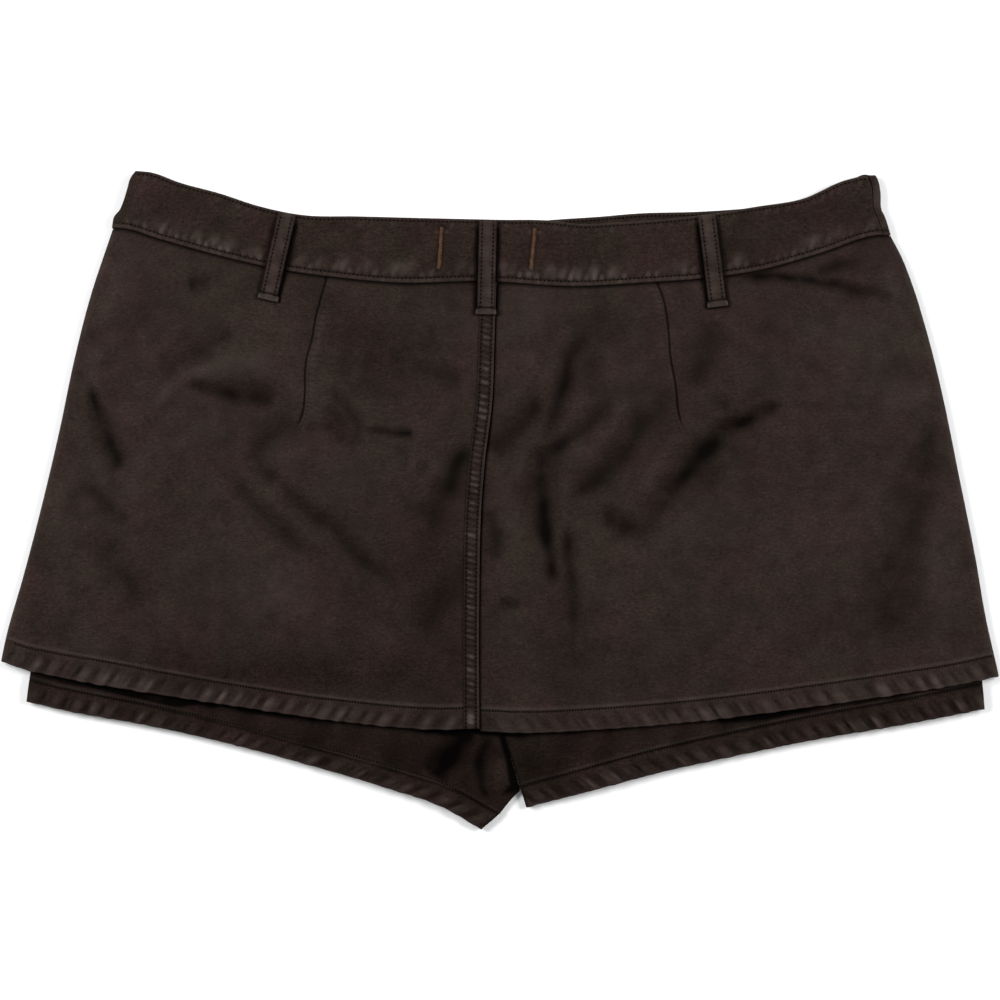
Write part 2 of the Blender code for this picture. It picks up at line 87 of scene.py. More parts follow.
# Belt loops
LOOP_WIDTH = 10.4
LOOP_WALL = 1.5
LOOP_RADIUS = 0.6
LOOP_ARCH = 1.9
LOOP_SEAT = 0.3
LOOP_STITCH_INSET = 1.9
LOOP_TACK_LENGTH = 2.8
LOOP_TACK_FLARE = 0.9
LOOP_TACK_BARS = (0.9, 1.5, 2.1)
LOOP_TACK_REACH = 5.0
LOOP_SEAT_SHARES = (-1, -0.5, 0, 0.5, 1)
LOOP_FINE_FROM = 1.1

# Air between the layers where they puff up
SHORTS_FRONT_AIR = 0.9
SHORTS_BACK_AIR = 2.0
SKIRT_AIR = 5.0
LEG_AIR = 1.2
LEG_REACH = 30.0
SEAM_REACH = 60.0
SIDE_REACH = 70.0
HEM_REACH = 110.0
HEM_SHARE = 0.35
LEG_SHOW = 20.0
LEG_DROP_START = 8.0
LEG_DROP = 16.0
FRONT_HEM_UP = 1.0
SIDE_ROLL = 3.2
ROLL_LEAN = 0.5

# Hem puckers
HEM_PUCKER_PITCH = 10.6
HEM_PUCKER_RISE = 0.75
HEM_FLECK_PITCH = 7.2
HEM_SCALLOP = 0.6

# How much wider the creases lie than their table's half widths
CREASE_SPREAD = 1.3

# Stitches, and where along x the rows that end beside a neighbouring piece are sewn
STITCH_PITCH = 2.4
HEM_STITCH_PITCH = 1.75
LABEL_TACK_PITCH = 0.46
LABEL_TACK_REACH = 0.75
BAND_TOP_SPAN = (-215.5, 214.0)
BAND_BOTTOM_SPAN = (-225.0, 222.5)
FRONT_WAIST_SPAN = (15.0, 172.0)
LEG_HEM_SPAN = (-276.0, 283.0)
LEFT_LEG_LAST_STITCHES = ((4.0, -1.6), (8.0, -1.0))

# Angles in degrees at which a rounded edge has its lanes
ROLL_ANGLES = (0, 15, 30, 50, 70, 90)

# Cut edges as they lie. Columns: x, y. Edges across run left to right, the others from waist to hem.
WAIST_EDGE = (
    (-214.5, 193.8), (-206, 193), (-189, 187), (-165, 180.5), (-142, 173), (-118, 168), (-83, 167),
    (0, 165), (30, 164.5), (47, 162.5), (70, 163.5), (117, 167.5), (153, 173), (177, 177), (206, 189),
    (215, 190.5), (217.5, 190),
)
FRONT_WAIST_EDGE = (
    (-214.5, 193.8), (-206, 192), (-189, 185), (-165, 178), (-142, 170), (-118, 165), (-83, 163),
    (0, 162.5), (35, 165.5), (58, 167), (82, 169), (117, 170), (153, 172.5), (177, 175), (206, 187.5),
    (215, 192), (221.5, 190.3),
)
BAND_SEAM = (
    (-228.5, 160), (-221, 159.5), (-201, 153.5), (-165, 143.5), (-127, 135), (-94, 130.5), (-60, 127.5),
    (-13, 128.5), (47, 125.5), (82, 127.5), (118, 130), (153, 135), (188.5, 145), (222, 155.5),
    (230.5, 156),
)
BAND_LEFT_END = (
    (-214.5, 193.8), (-217.3, 190), (-219.8, 182), (-222.2, 174.5), (-224, 170.5), (-227, 167),
    (-228.5, 160),
)
BAND_RIGHT_END = ((221.5, 190.3), (223.4, 186), (224.4, 180), (225, 170.5), (227, 166.5), (230.5, 156))
SKIRT_LEFT_SIDE = (
    (-228.5, 159.5), (-242, 118.5), (-251, 83), (-260, 40), (-281.5, -47), (-291.5, -82.5), (-294, -94.5),
)
SKIRT_RIGHT_SIDE = (
    (230.5, 155.5), (237.5, 142), (242, 130.5), (253, 94.5), (261.5, 59.5), (270.5, 15), (280.5, -35),
    (286.5, -70), (294, -103.5),
)
SKIRT_LEFT_HEM = (
    (-294, -94.5), (-283.5, -98.5), (-260, -104), (-212, -112.5), (-153.5, -121.5), (-94.5, -130),
    (-35.5, -135), (-12, -134.5),
)
SKIRT_RIGHT_HEM = (
    (-12, -136), (11.5, -137), (58.5, -135), (117.5, -130), (176.5, -122.5), (235.5, -114), (271, -108.5),
    (294, -103.5),
)
CENTRE_BACK = ((-2, 128), (-3, 94.5), (-4.5, 56.5), (-8.5, 24), (-10.5, 0), (-12, -58.5), (-12, -135))
LEG_LEFT_SIDE = ((-223, 159), (-245, 83), (-262, 0), (-276.5, -101), (-279, -118.5))
LEG_RIGHT_SIDE = ((225, 155), (252, 59.5), (268, -12), (284, -107), (285.5, -123))
LEG_LEFT_HEM = (
    (-279, -118.5), (-257.5, -123.5), (-210.5, -132), (-163, -142.5), (-116, -155), (-68.5, -169),
    (-33.5, -181), (-11, -194),
)
LEG_RIGHT_HEM = (
    (15.5, -181), (47, -173), (94, -160.5), (141.5, -150), (188.5, -140.5), (235.5, -132.5), (285.5, -123),
)
SEAT_SEAM = ((-2, 128), (1.5, -136))
LEG_RIGHT_FOLD = ((1.5, -136), (15.5, -181))
LEG_LEFT_FOLD = ((1.5, -136), (12, -171))
LEG_LEFT_TURN = ((12, -171), (7, -176), (-0.5, -185), (-11, -194))

# Distance of the hem stitches from the hem, along x
SKIRT_HEM_STITCH = ((-290, 12.6), (-235, 14.0), (-177, 12.6), (-118, 12.0), (-60, 12.4), (294, 12.4))
LEFT_LEG_STITCH = ((-279, 12.6), (-120, 11.8), (-60, 12.9), (-11, 13.2))
RIGHT_LEG_STITCH = ((15, 12.6), (60, 13.8), (120, 14.2), (285, 14.6))

# How strongly the hems pucker: the skirt's along x, and the legs'
HEM_PUCKER_SHARE = ((-294, 1.0), (-40, 0.9), (-12, 0.5), (80, 0.5), (100, 0.9), (294, 1.0))
LEG_PUCKER_SHARE = 0.85

# How far below the skirt's hem the legs lie in its black shadow, along x
HEM_SHADOW = (
    (-278, 0.0), (-262, 0.8), (-250, 1.6), (-228, 2.6), (-201, 4.6), (-188, 4.6), (-178, 2.0), (-165, 0.5),
    (-150, 0.8), (-138, 2.2), (-125, 1.5), (-100, 0.0), (-60, 0.0), (-45, 1.0), (-34, 2.6), (-22, 3.4),
    (-10, 2.0), (5, 2.0), (18, 0.4), (94, 0.0), (128, 0.4), (140, 2.6), (158, 3.2), (171, 2.4), (184, 0.4),
    (280, 0.0),
)

# Creases: points x, y along the bottom or crest, half widths at the start, middle and end, the height
# above or below the cloth round it, and how dark the painted shade in its hollow is, or below 0 how
# light the painted highlight on its crest is
Crease = namedtuple("Crease", "name points spreads rise dark")
SKIRT_CREASES = [Crease(*row) for row in (
    ("left_side_streak", ((-241, 67.5), (-234.5, 47.5), (-227.5, 30), (-222, 17)),
     (1.6, 4.2, 4.6), -1.9, 0.8),
    ("left_side_step", ((-241.5, 8.5), (-229, -5.5), (-218.5, -15)), (3, 4, 3), -0.7, 0.5),
    ("left_side_faint", ((-231, -23.5), (-220, -47), (-209, -67)), (4, 7, 6), -0.9, 0.42),
    ("left_band_nick", ((-184.5, 126.5), (-177.5, 129), (-169, 129.5)), (3, 4, 3), -0.5, 0.65),
    ("left_hip_shade", ((-155, 99.5), (-171, 92), (-185, 83), (-200, 74)), (4, 5.3, 5), -1.2, 0.42),
    ("left_hip_ridge", ((-202.5, 51), (-196, 60.5), (-188.5, 70.5), (-165.5, 77.5), (-127.5, 80.5)),
     (2, 4.5, 6), 1.1, 0),
    ("left_hip_valley", ((-182.5, 67), (-165.5, 63.3), (-148, 61), (-129, 58.5)),
     (2, 4.6, 4), -2, (0.55, 0.72, 0.62)),
    ("left_dart_hook", ((-118.5, 48), (-131, 41), (-142, 29.5), (-139.5, 18), (-130, 7)),
     (6, 4.8, 3.2), -1.7, (0.62, 0.5, 0.4)),
    ("left_long_drag", ((-134, 12), (-118, -2.5), (-105.5, -12), (-93, -23.5), (-81, -36), (-63.5, -49.5)),
     (3.2, 4.6, 3.8), -2, (0.42, 0.55, 0.42)),
    ("left_second_drag", ((-158, 13.5), (-144.5, -2), (-130, -16), (-111, -33.5)),
     (3.4, 4.8, 4.5), -1.4, 0.48),
    ("left_triangle_edge", ((-98, 64), (-89.5, 52), (-84, 41.5), (-89, 28.5)), (2.2, 3.2, 3), -0.9, 0.55),
    ("left_triangle_foot", ((-116, 41), (-105.5, 43), (-96, 44)), (3, 3.6, 4), -0.7, 0.45),
    ("left_triangle_fill", ((-99.5, 58), (-93, 43), (-93.5, 32)), (5, 7, 6), -0.3, 0.45),
    ("left_pinch", ((-82.5, 41), (-73.5, 41), (-63, 40.5)), (1.2, 1.4, 2), -0.6, 0.6),
    ("left_pinch_spot", ((-66.5, 39.5), (-58, 39.2), (-49.5, 39.2)), (2, 2.8, 2), -1.2, 0.88),
    ("left_pinch_drop", ((-60, 34.5), (-57, 25), (-55, 14.5)), (2, 3, 2), -0.4, 0.22),
    ("left_pinch_dash", ((-49.5, 19.5), (-41.5, 18.5)), (2, 2.6, 2), -0.4, 0.35),
    ("left_pinch_faint", ((-53.5, 78), (-38, 74), (-20.5, 70)), (3, 4, 4.5), -0.8, (0.2, 0.42, 0.35)),
    ("left_fell_drag", ((-17, 33.5), (-26.5, 14.5), (-35.5, -4.5), (-42, -18.5)),
     (4.5, 5.4, 5), -1.9, (0.88, 0.8, 0.45)),
    ("left_fell_drag_low", ((-15.5, -30.5), (-26.5, -51.5), (-39, -64.5), (-45, -79)), (5, 8, 7), -1, 0.42),
    ("right_fell_arc", ((52, 103), (43, 83), (36.3, 64), (30.5, 47.5), (27.5, 30)),
     (5, 4.8, 3.6), -1.3, (0.5, 0.8, 0.5)),
    ("right_fell_arc_side", ((62, 100.5), (54, 81.5), (45.5, 60.5)), (7, 8, 6), -0.6, 0.25),
    ("right_hook", ((68.5, 61.5), (52.5, 44), (37.5, 33.5), (27, 26), (24, 13.5)),
     (3.6, 4.4, 4.4), -1.6, (0.45, 0.68, 0.85)),
    ("right_fall", ((24, 22.5), (24.5, 0.5), (26.5, -18.5), (30, -37.5), (34, -51.5)),
     (4.6, 5.2, 3), -2.6, (0.8, 1.0, 0.7)),
    ("right_fall_branch", ((39, -10.5), (40, -30.5), (42, -49.5), (43, -75), (44.5, -96.5)),
     (3, 3.8, 3.4), -1.4, (0.75, 0.6, 0.3)),
    ("right_fall_skirt", ((36.5, -56.5), (38.5, -76.5), (41, -103.5)), (10, 13, 11), -0.5, 0.22),
    ("right_fell_nick", ((27, 60), (12.5, 45.5), (-0.5, 32.5), (-6, 25)), (4.5, 6, 6.5), -1.4, 0.65),
    ("right_fell_patch", ((-7.5, -4.5), (-2.5, -20), (-5, -36.5)), (4, 5, 4), -0.6, 0.6),
    ("right_fell_sweep", ((2.5, 87.5), (11.5, 91), (23.5, 87.5)), (3, 4, 3), -0.5, 0.3),
    ("right_second_drag", ((101.5, 60), (84.5, 43.5), (71, 25), (56.5, 11), (40, -0.5)),
     (7, 6.4, 3.8), -1.8, (0.5, 0.65, 0.75)),
    ("right_main_top", ((165.5, 56), (155.5, 51.5), (146, 48), (136.5, 44), (129.5, 35.5)),
     (2.2, 3.4, 4.8), -2.6, (0.5, 1.0, 1.0)),
    ("right_main_drag", ((134, 41.5), (125, 30.5), (114, 20), (103, 7.5), (95.5, -2.5)),
     (4.6, 6.8, 5.4), -3.4, (1.0, 0.95, 0.7)),
    ("right_main_foot", ((101, 5), (91.5, -8), (82.5, -17.5), (71.5, -15.5), (60, -7)),
     (5.4, 6.2, 5), -1.9, (0.62, 0.6, 0.66)),
    ("right_main_shade", ((137.5, 37), (128.5, 25), (117.5, 13.5), (107, 2)), (5, 8, 8), -0.3, 0.38),
    ("right_dart_shade", ((127.5, 105.5), (119.5, 85.5), (110.5, 66.5)), (8, 9, 7), -0.9, 0.45),
    ("right_nick", ((123.5, 63), (129, 58), (134, 53)), (2.4, 3, 2.4), -0.7, 0.4),
    ("right_band_drag", ((139, 132), (163.5, 131.5), (190.5, 127.5), (209.5, 123), (231, 118.5)),
     (2.2, 2.9, 2.6), -1.5, (1.0, 0.95, 0.5)),
    ("right_band_drag_high", ((185.5, 133.5), (197, 137), (213.5, 139.5)), (3, 4.2, 3), -0.8, 0.62),
    ("right_hip_line", ((168.5, 55), (194.5, 54), (222.5, 56.5)), (2.5, 3, 2.5), -0.5, 0.22),
    ("right_hip_arc", ((204, 70.5), (222.5, 74.5), (240.5, 83)), (2.5, 3.5, 3), -0.4, 0.2),
    ("right_side_shade", ((254, 50), (250, 18), (243, -9.5), (236, -37), (229, -88)),
     (7, 11, 12), -0.8, 0.5),
    ("centre_dash", ((-1.5, -60.5), (5.5, -61.5), (12.5, -62)), (2.2, 2.8, 2.2), -0.6, 0.55),
)]
LEG_CREASES = [Crease(*row) for row in (
    ("ridge", ((-8, -138), (-23, -159.5), (-34, -172)), (3, 4.5, 5), 2.0, -0.35),
    ("hollow", ((-19, -133), (-29, -150), (-41, -165)), (7.5, 7.5, 6.5), -1.3, 1.25),
    ("inner_hollow", ((-3, -138), (-9.5, -151), (-12, -161), (-9.5, -171), (-5, -177)),
     (4, 4.2, 3.4), -1.4, 1.05),
    ("bulge", ((-2, -152), (0, -162), (-1, -172)), (3, 4.5, 4), 1.2, -0.25),
    ("fall", ((-62, -140), (-74, -152)), (6, 7, 6), -0.4, 0.2),
)]

# Broad patches of painted light and shade on the skirt. Columns: middle x and y, half width, half
# height, paler or darker
SKIRT_PATCHES = (
    (-130, -56, 18, 14, 0.09), (-158, -44, 26, 30, 0.03), (-168, 47, 22, 11, 0.07), (-187, 35, 10, 5, 0.05),
    (-150, 77, 26, 6, 0.05), (-98, 19, 16, 12, 0.05), (-109, 62, 6, 14, 0.05), (-224, 133, 16, 12, 0.04),
    (-70, 90, 30, 22, -0.05), (21, 117, 15, 12, 0.08), (12, 80, 10, 14, 0.04), (2, -2, 7, 18, 0.06),
    (50, 30, 9, 9, 0.05), (75, 78, 12, 16, 0.03), (66, -50, 10, 8, 0.04), (165, 79, 5, 5, 0.06),
    (205, 98, 26, 16, 0.06), (236, 60, 10, 8, 0.07), (177, -24, 50, 34, 0.03), (258, -30, 8, 40, 0.06),
    (2, 104, 26, 14, 0.04), (60, 108, 16, 14, -0.03), (215, 62, 24, 14, 0.03), (110, -30, 26, 22, 0.02),
    (-120, -102, 90, 13, -0.07), (-40, -50, 16, 40, -0.05), (-110, 110, 30, 18, -0.02),
    (-272, -60, 12, 40, -0.04),
)

# Darts from the band down, and how far beside them their stitches are, towards the centre
LEFT_DART = (
    (-101.5, 131), (-105, 118), (-108, 106.5), (-110, 94), (-113, 83), (-114, 74), (-114, 64),
    (-115.5, 50.5), (-119.5, 41),
)
RIGHT_DART = ((92, 128), (96, 116.5), (98.5, 99.5), (99.5, 84.5), (102.5, 67.5), (105, 48.5), (107.5, 41))
DART_STITCH = 1.7

# Belt loops: x and y of the top and of the bottom end of the middle line, and how dark the painted
# shade in the gaps beside them is
Loop = namedtuple("Loop", "name top_x top_y bottom_x bottom_y dark_west dark_east")
LOOPS = (
    Loop("belt_loop_left", -125.0, 168.6, -136.5, 117.5, 0.55, 1.0),
    Loop("belt_loop_center", -7.0, 164.8, -8.3, 109.0, 1.0, 1.0),
    Loop("belt_loop_right", 121.5, 167.6, 128.0, 113.5, 1.0, 0.7),
)

# Thread left from a label. Columns: x and y of the upper and of the lower end.
LABEL_TACKS = ((-34.2, 160.2, -36.0, 136.0), (20.4, 159.6, 18.3, 136.0))


def reading(table, x):
    """A table's second column, read at x."""
    columns = np.array(table, float).T
    return np.interp(x, columns[0], columns[1])


def distances(line):
    """Distance of each point of a line from its start, along the line."""
    return np.concatenate([[0.0], np.cumsum(np.hypot(*np.diff(line, axis=0).T))])


class Edge:
    """A smooth edge through its points, with a corner between tables, read by the distance along it."""

    steps = 12

    def __init__(self, *tables):
        self.tables = [np.array(table, float) for table in tables]
        points = [self.tables[0][0]]
        for knots in self.tables:
            points += self.smooth(knots)
        self.xs, self.ys = np.array(points).T
        self.run = distances(points)
        self.length = float(self.run[-1])

    def smooth(self, knots):
        """Points of a cubic run through the knots, after its first one."""
        gaps = np.hypot(*np.diff(knots, axis=0).T)
        slopes = np.gradient(knots, distances(knots), axis=0)
        points = []
        for i, gap in enumerate(gaps):
            for t in np.arange(1, self.steps + 1) / self.steps:
                early, late = (1 + 2 * t) * (1 - t) ** 2, t * t * (3 - 2 * t)
                leaving, arriving = t * (1 - t) ** 2 * gap, t * t * (t - 1) * gap
                run = early * knots[i] + late * knots[i + 1]
                points.append(run + leaving * slopes[i] + arriving * slopes[i + 1])
        return points

    def at(self, distance):
        """x and y at one or many distances, stacked on the first axis."""
        return np.array([np.interp(distance, self.run, self.xs), np.interp(distance, self.run, self.ys)])

    def y_at(self, x):
        return np.interp(x, self.xs, self.ys)

    def x_at(self, y):
        return np.interp(-np.asarray(y), -self.ys, self.xs)

    def where(self, x):
        """The distance along an edge that runs across at which it passes x."""
        return float(np.interp(x, self.xs, self.run))

    def part(self, start, end, up=0.0):
        """A stretch of the edge between two distances, moved along Y."""
        count = max(8, int((end - start) / 4))
        return Edge([self.at(distance) + (0.0, up) for distance in np.linspace(start, end, count)])

    def moved(self, right):
        return Edge(*(table + (right, 0.0) for table in self.tables))

    def beside(self, offset, start=0.0, end=None):
        """Points 1 mm apart on a line that keeps offset to the left of the direction of travel."""
        end = self.length if end is None else end
        line = self.at(np.linspace(start, end, max(3, int(end - start) + 1))).T
        ahead = np.gradient(line, axis=0)
        ahead /= np.linalg.norm(ahead, axis=1)[:, None]
        offset = np.broadcast_to(offset, len(line))[:, None]
        return line + offset * np.column_stack([-ahead[:, 1], ahead[:, 0]])

    def hem_row(self, table, up=0.0):
        """A row of stitches whose distance from this hem is given along x by a table."""
        return self.beside(reading(table, self.beside(0.0)[:, 0]) + up)


SEAM = Edge(BAND_SEAM)
WAIST = Edge(WAIST_EDGE)
FRONT_WAIST = Edge(FRONT_WAIST_EDGE)
FELL = Edge(CENTRE_BACK)
SEAM_MIDDLE = SEAM.where(CENTRE_BACK[0][0])

# What differs between the halves. The way is 1 where the garment's side is on the west. Puckers are a hem's
# slant and seed. The back's grid is finer in the dense share of its width. Spans are in x, and keep the hem's
# stitches, and the skirt's and the band's on the underside, off the neighbouring pieces.
Side = namedtuple(
    "Side",
    "name way seam_end edge hem dart dense puckers leg_edge leg_hem leg_inner leg_stitch leg_puckers"
    " hem_span under_hem_span under_band_span",
)
LEFT = Side(
    name="left",
    way=1,
    seam_end=BAND_SEAM[0][0],
    edge=Edge(SKIRT_LEFT_SIDE),
    hem=Edge(SKIRT_LEFT_HEM),
    dart=LEFT_DART,
    dense=(0.535, 0.595),
    puckers=(-0.45, 13),
    leg_edge=Edge(LEG_LEFT_SIDE),
    leg_hem=Edge(LEG_LEFT_HEM),
    leg_inner=Edge(SEAT_SEAM, LEG_LEFT_FOLD, LEG_LEFT_TURN),
    leg_stitch=LEFT_LEG_STITCH,
    leg_puckers=(-0.25, 22),
    hem_span=(-287.5, -21.8),
    under_hem_span=(-math.inf, -13.5),
    under_band_span=(-math.inf, -3.5),
)
RIGHT = Side(
    name="right",
    way=-1,
    seam_end=BAND_SEAM[-1][0],
    edge=Edge(SKIRT_RIGHT_SIDE),
    hem=Edge(SKIRT_RIGHT_HEM),
    dart=RIGHT_DART,
    dense=(0.372, 0.432),
    puckers=(0.7, 41),
    leg_edge=Edge(LEG_RIGHT_SIDE),
    leg_hem=Edge(LEG_RIGHT_HEM),
    leg_inner=Edge(SEAT_SEAM, LEG_RIGHT_FOLD),
    leg_stitch=RIGHT_LEG_STITCH,
    leg_puckers=(0.7, 57),
    hem_span=(-math.inf, 289.5),
    under_hem_span=(-10.5, math.inf),
    under_band_span=(-1.0, 215.0),
)
SIDES = (LEFT, RIGHT)


def soft_step(value):
    value = np.clip(value, 0.0, 1.0)
    return value * value * (3 - 2 * value)


def bump(distance, width):
    """1 on a line, falling softly to 0 beside it."""
    return np.exp(-((distance / width) ** 2))


def beat(along, least, swing, pitch=STITCH_PITCH):
    """How deep a row of stitches pulls the cloth in, along it."""
    return least + swing * np.cos(2 * math.pi * along / pitch)


def roll_lanes(radius):
    """Distances from an edge at which a quarter roll has turned by equal angles."""
    return [radius * (1 - math.cos(math.radians(angle))) for angle in ROLL_ANGLES]


# Lanes of a grid near an edge: at a plain rim, along a stitched hem, and above it on the legs
RIM = roll_lanes(WALL / 2)
HEM_LANES = roll_lanes(WALL) + list(np.arange(1.8, 17.5, 0.85))
FRONT_HEM_LANES = RIM + list(np.arange(1.6, 17, 1.3))
LEG_OUTER_LANES = HEM_LANES + list(np.linspace(18.2, 44.0, 40))
LEG_INNER_LANES = HEM_LANES + list(np.linspace(19.0, 84.0, 40))
BAND_RIM = roll_lanes(BAND_RADIUS)
BAND_CRISP_RIM = roll_lanes(BAND_RADIUS * SEAM_CRISP)


class Cloth:
    """A fine grid between a top, bottom, left and right edge, and every point's distances from them."""

    def __init__(self, edges, pitch, rim, left=None, right=None, bottoms=None, dense=(2.0, 2.0)):
        """The rim's lanes run along every edge without its own. Bottoms are a west and an east one."""
        over, under, west, east = edges
        bottoms = bottoms or (rim, rim)
        shares = self.shares((over.length + under.length) / 2, pitch[0], *dense)
        left, right = left or rim, right or rim
        on_over, on_under = (self.lanes(edge.length, left, right, shares) for edge in (over, under))
        uprights = tuple(zip((west, east), bottoms))
        tall = max(edge.length - rim[-1] - bottom[-1] for edge, bottom in uprights)
        rows = self.shares(tall, pitch[1])
        on_west, on_east = (self.lanes(edge.length, rim, bottom, rows) for edge, bottom in uprights)
        u = ((on_over / over.length + on_under / under.length) / 2)[None, :]
        w = ((on_west / west.length + on_east / east.length) / 2)[:, None]
        first, last = (
            edge.at(on) - (1 - w[:, 0]) * edge.at(0.0)[:, None] - w[:, 0] * edge.at(edge.length)[:, None]
            for edge, on in ((west, on_west), (east, on_east))
        )
        above, below = over.at(on_over)[:, None, :], under.at(on_under)[:, None, :]
        self.x, self.y = (1 - w) * above + w * below + (1 - u) * first[:, :, None] + u * last[:, :, None]
        self.left = (1 - w) * on_over + w * on_under
        self.right = (1 - w) * (over.length - on_over) + w * (under.length - on_under)
        self.top = (1 - u) * on_west[:, None] + u * on_east[:, None]
        self.bottom = (1 - u) * (west.length - on_west)[:, None] + u * (east.length - on_east)[:, None]

    @staticmethod
    def shares(length, pitch, dense_from=2.0, dense_to=2.0, finer=2.8):
        """Shares of a length about pitch apart, and closer together between two shares."""
        shares = [0.0]
        while shares[-1] < 1.0:
            step = pitch / finer if dense_from < shares[-1] < dense_to else pitch
            shares.append(shares[-1] + step / length)
        return np.array(shares) / shares[-1]

    @staticmethod
    def lanes(length, near, far, shares):
        """Distances along an edge: fixed ones near either end, and shares of the rest between them."""
        middle = near[-1] + shares * (length - near[-1] - far[-1])
        return np.concatenate([near, middle[1:-1], length - np.array(far[::-1])])

    def inside(self):
        return np.minimum(np.minimum(self.left, self.right), np.minimum(self.top, self.bottom))

    def from_ends(self, side):
        """Distances from the garment's side and from its middle."""
        return (self.left, self.right)[:: side.way]


def rounded(wall, inside, radius=None):
    """Half the thickness of a wall whose edges are round."""
    radius = wall / 2 if radius is None else radius
    depth = np.clip(inside / radius, 0.0, 1.0)
    return wall / 2 * np.sqrt(np.clip(1 - (1 - depth) ** 2, 0.0, 1.0))


def hem_y(x):
    return np.where(x < SKIRT_RIGHT_HEM[0][0], LEFT.hem.y_at(x), RIGHT.hem.y_at(x))


def from_side(x, y):
    return np.minimum(x - LEFT.edge.x_at(y), RIGHT.edge.x_at(y) - x)


def puff(x, y):
    """How far the layers have risen here, from 0 at the seams to 1 in the middle of the skirt."""
    below_seam = soft_step((SEAM.y_at(x) - y) / SEAM_REACH)
    above_hem = soft_step((y - hem_y(x)) / HEM_REACH)
    return below_seam * soft_step(from_side(x, y) / SIDE_REACH) * (HEM_SHARE + (1 - HEM_SHARE) * above_hem)


def wander(x, y, size, seed):
    """A soft uneven field between about -1 and 1 whose swells are about size across."""
    draw = np.random.default_rng(seed)
    field = np.zeros(np.shape(x))
    for _ in range(10):
        turn, start = draw.uniform(0, 2 * math.pi), draw.uniform(0, 2 * math.pi)
        length = draw.uniform(0.7, 1.6)
        field += np.sin(2 * math.pi * (x * math.cos(turn) + y * math.sin(turn)) / (size * length) + start)
    return field / 4.0


def uneven(along, pitch, seed):
    """A wave along a line, between -1 and 1, with an uneven pitch and height."""
    drift = 1.2 * np.sin(along / 37 + seed) + 0.8 * np.sin(along / 17 + 2.1 * seed)
    drift = drift + 0.5 * np.sin(along / 9 + 3.3 * seed)
    height = 0.72 + 0.28 * np.sin(along / 23 + 1.7 * seed)
    return height * np.sin(2 * math.pi * along / pitch + drift)


def puckers(along, pitch, seed, least=0.25):
    """Crests along a line, between 0 and 1, each of its own height and width."""
    drift = 0.35 * np.sin(along / 31 + seed) + 0.22 * np.sin(along / 13 + 2.1 * seed)
    phase = np.maximum(along / pitch + drift + 3, 0.0)
    number = phase.astype(int)
    draw = np.random.default_rng(seed)
    heights, powers = draw.uniform(least, 1.0, 400), draw.uniform(1.2, 3.6, 400)
    return heights[number % 400] * np.sin(math.pi * (phase - number)) ** powers[number % 400]


def line_distance(line, x, y):
    """Distance of points from a line of points, and the share along the line where it is nearest."""
    run = distances(line)
    best, share = np.full(x.shape, np.inf), np.zeros(x.shape)
    for i, ((x0, y0), (dx, dy)) in enumerate(zip(line, np.diff(line, axis=0))):
        t = np.clip(((x - x0) * dx + (y - y0) * dy) / (dx * dx + dy * dy), 0.0, 1.0)
        away = np.hypot(x - x0 - t * dx, y - y0 - t * dy)
        nearer = away < best
        best = np.where(nearer, away, best)
        share = np.where(nearer, (run[i] + t * (run[i + 1] - run[i])) / run[-1], share)
    return best, share


def creased(creases, x, y):
    """The creases' height at each point, and their painted shade, or below 0 the painted highlight on and
    beside them.
    """
    rise, dark, lit = np.zeros((3, *x.shape))
    patchy = 1 + 0.22 * wander(x, y, 15.0, 75)
    x, y = x + 0.9 * wander(x, y, 24.0, 71), y + 0.9 * wander(x, y, 24.0, 73)
    for crease in creases:
        edge = Edge(crease.points)
        line = edge.at(np.linspace(0, edge.length, 24)).T
        reach = 3 * max(crease.spreads)
        low, high = line.min(axis=0) - reach, line.max(axis=0) + reach
        near = (x > low[0]) & (x < high[0]) & (y > low[1]) & (y < high[1])
        if not near.any():
            continue
        away, share = line_distance(line, x[near], y[near])
        spread = CREASE_SPREAD * np.interp(share, (0.0, 0.5, 1.0), crease.spreads)
        fade = soft_step(np.minimum(share, 1 - share) * 5 + 0.25)
        rise[near] += crease.rise * (bump(away, spread) * fade)
        depth = np.interp(share, (0.0, 0.5, 1.0), np.broadcast_to(crease.dark, 3))
        lit[near] += 0.16 * np.maximum(depth, 0) * fade * bump(away - 1.75 * spread, 0.6 * spread)
        profile = 0.62 * bump(away, 0.8 * spread) + 0.38 * bump(away, 1.6 * spread)
        depth = depth * patchy[near] * fade * profile
        dark[near] = np.where(depth < 0, dark[near] + depth, np.maximum(dark[near], depth))
    return rise, dark - lit * np.clip(1 - 5 * dark, 0, 1)


# ---------------------------------------------------------------- materials


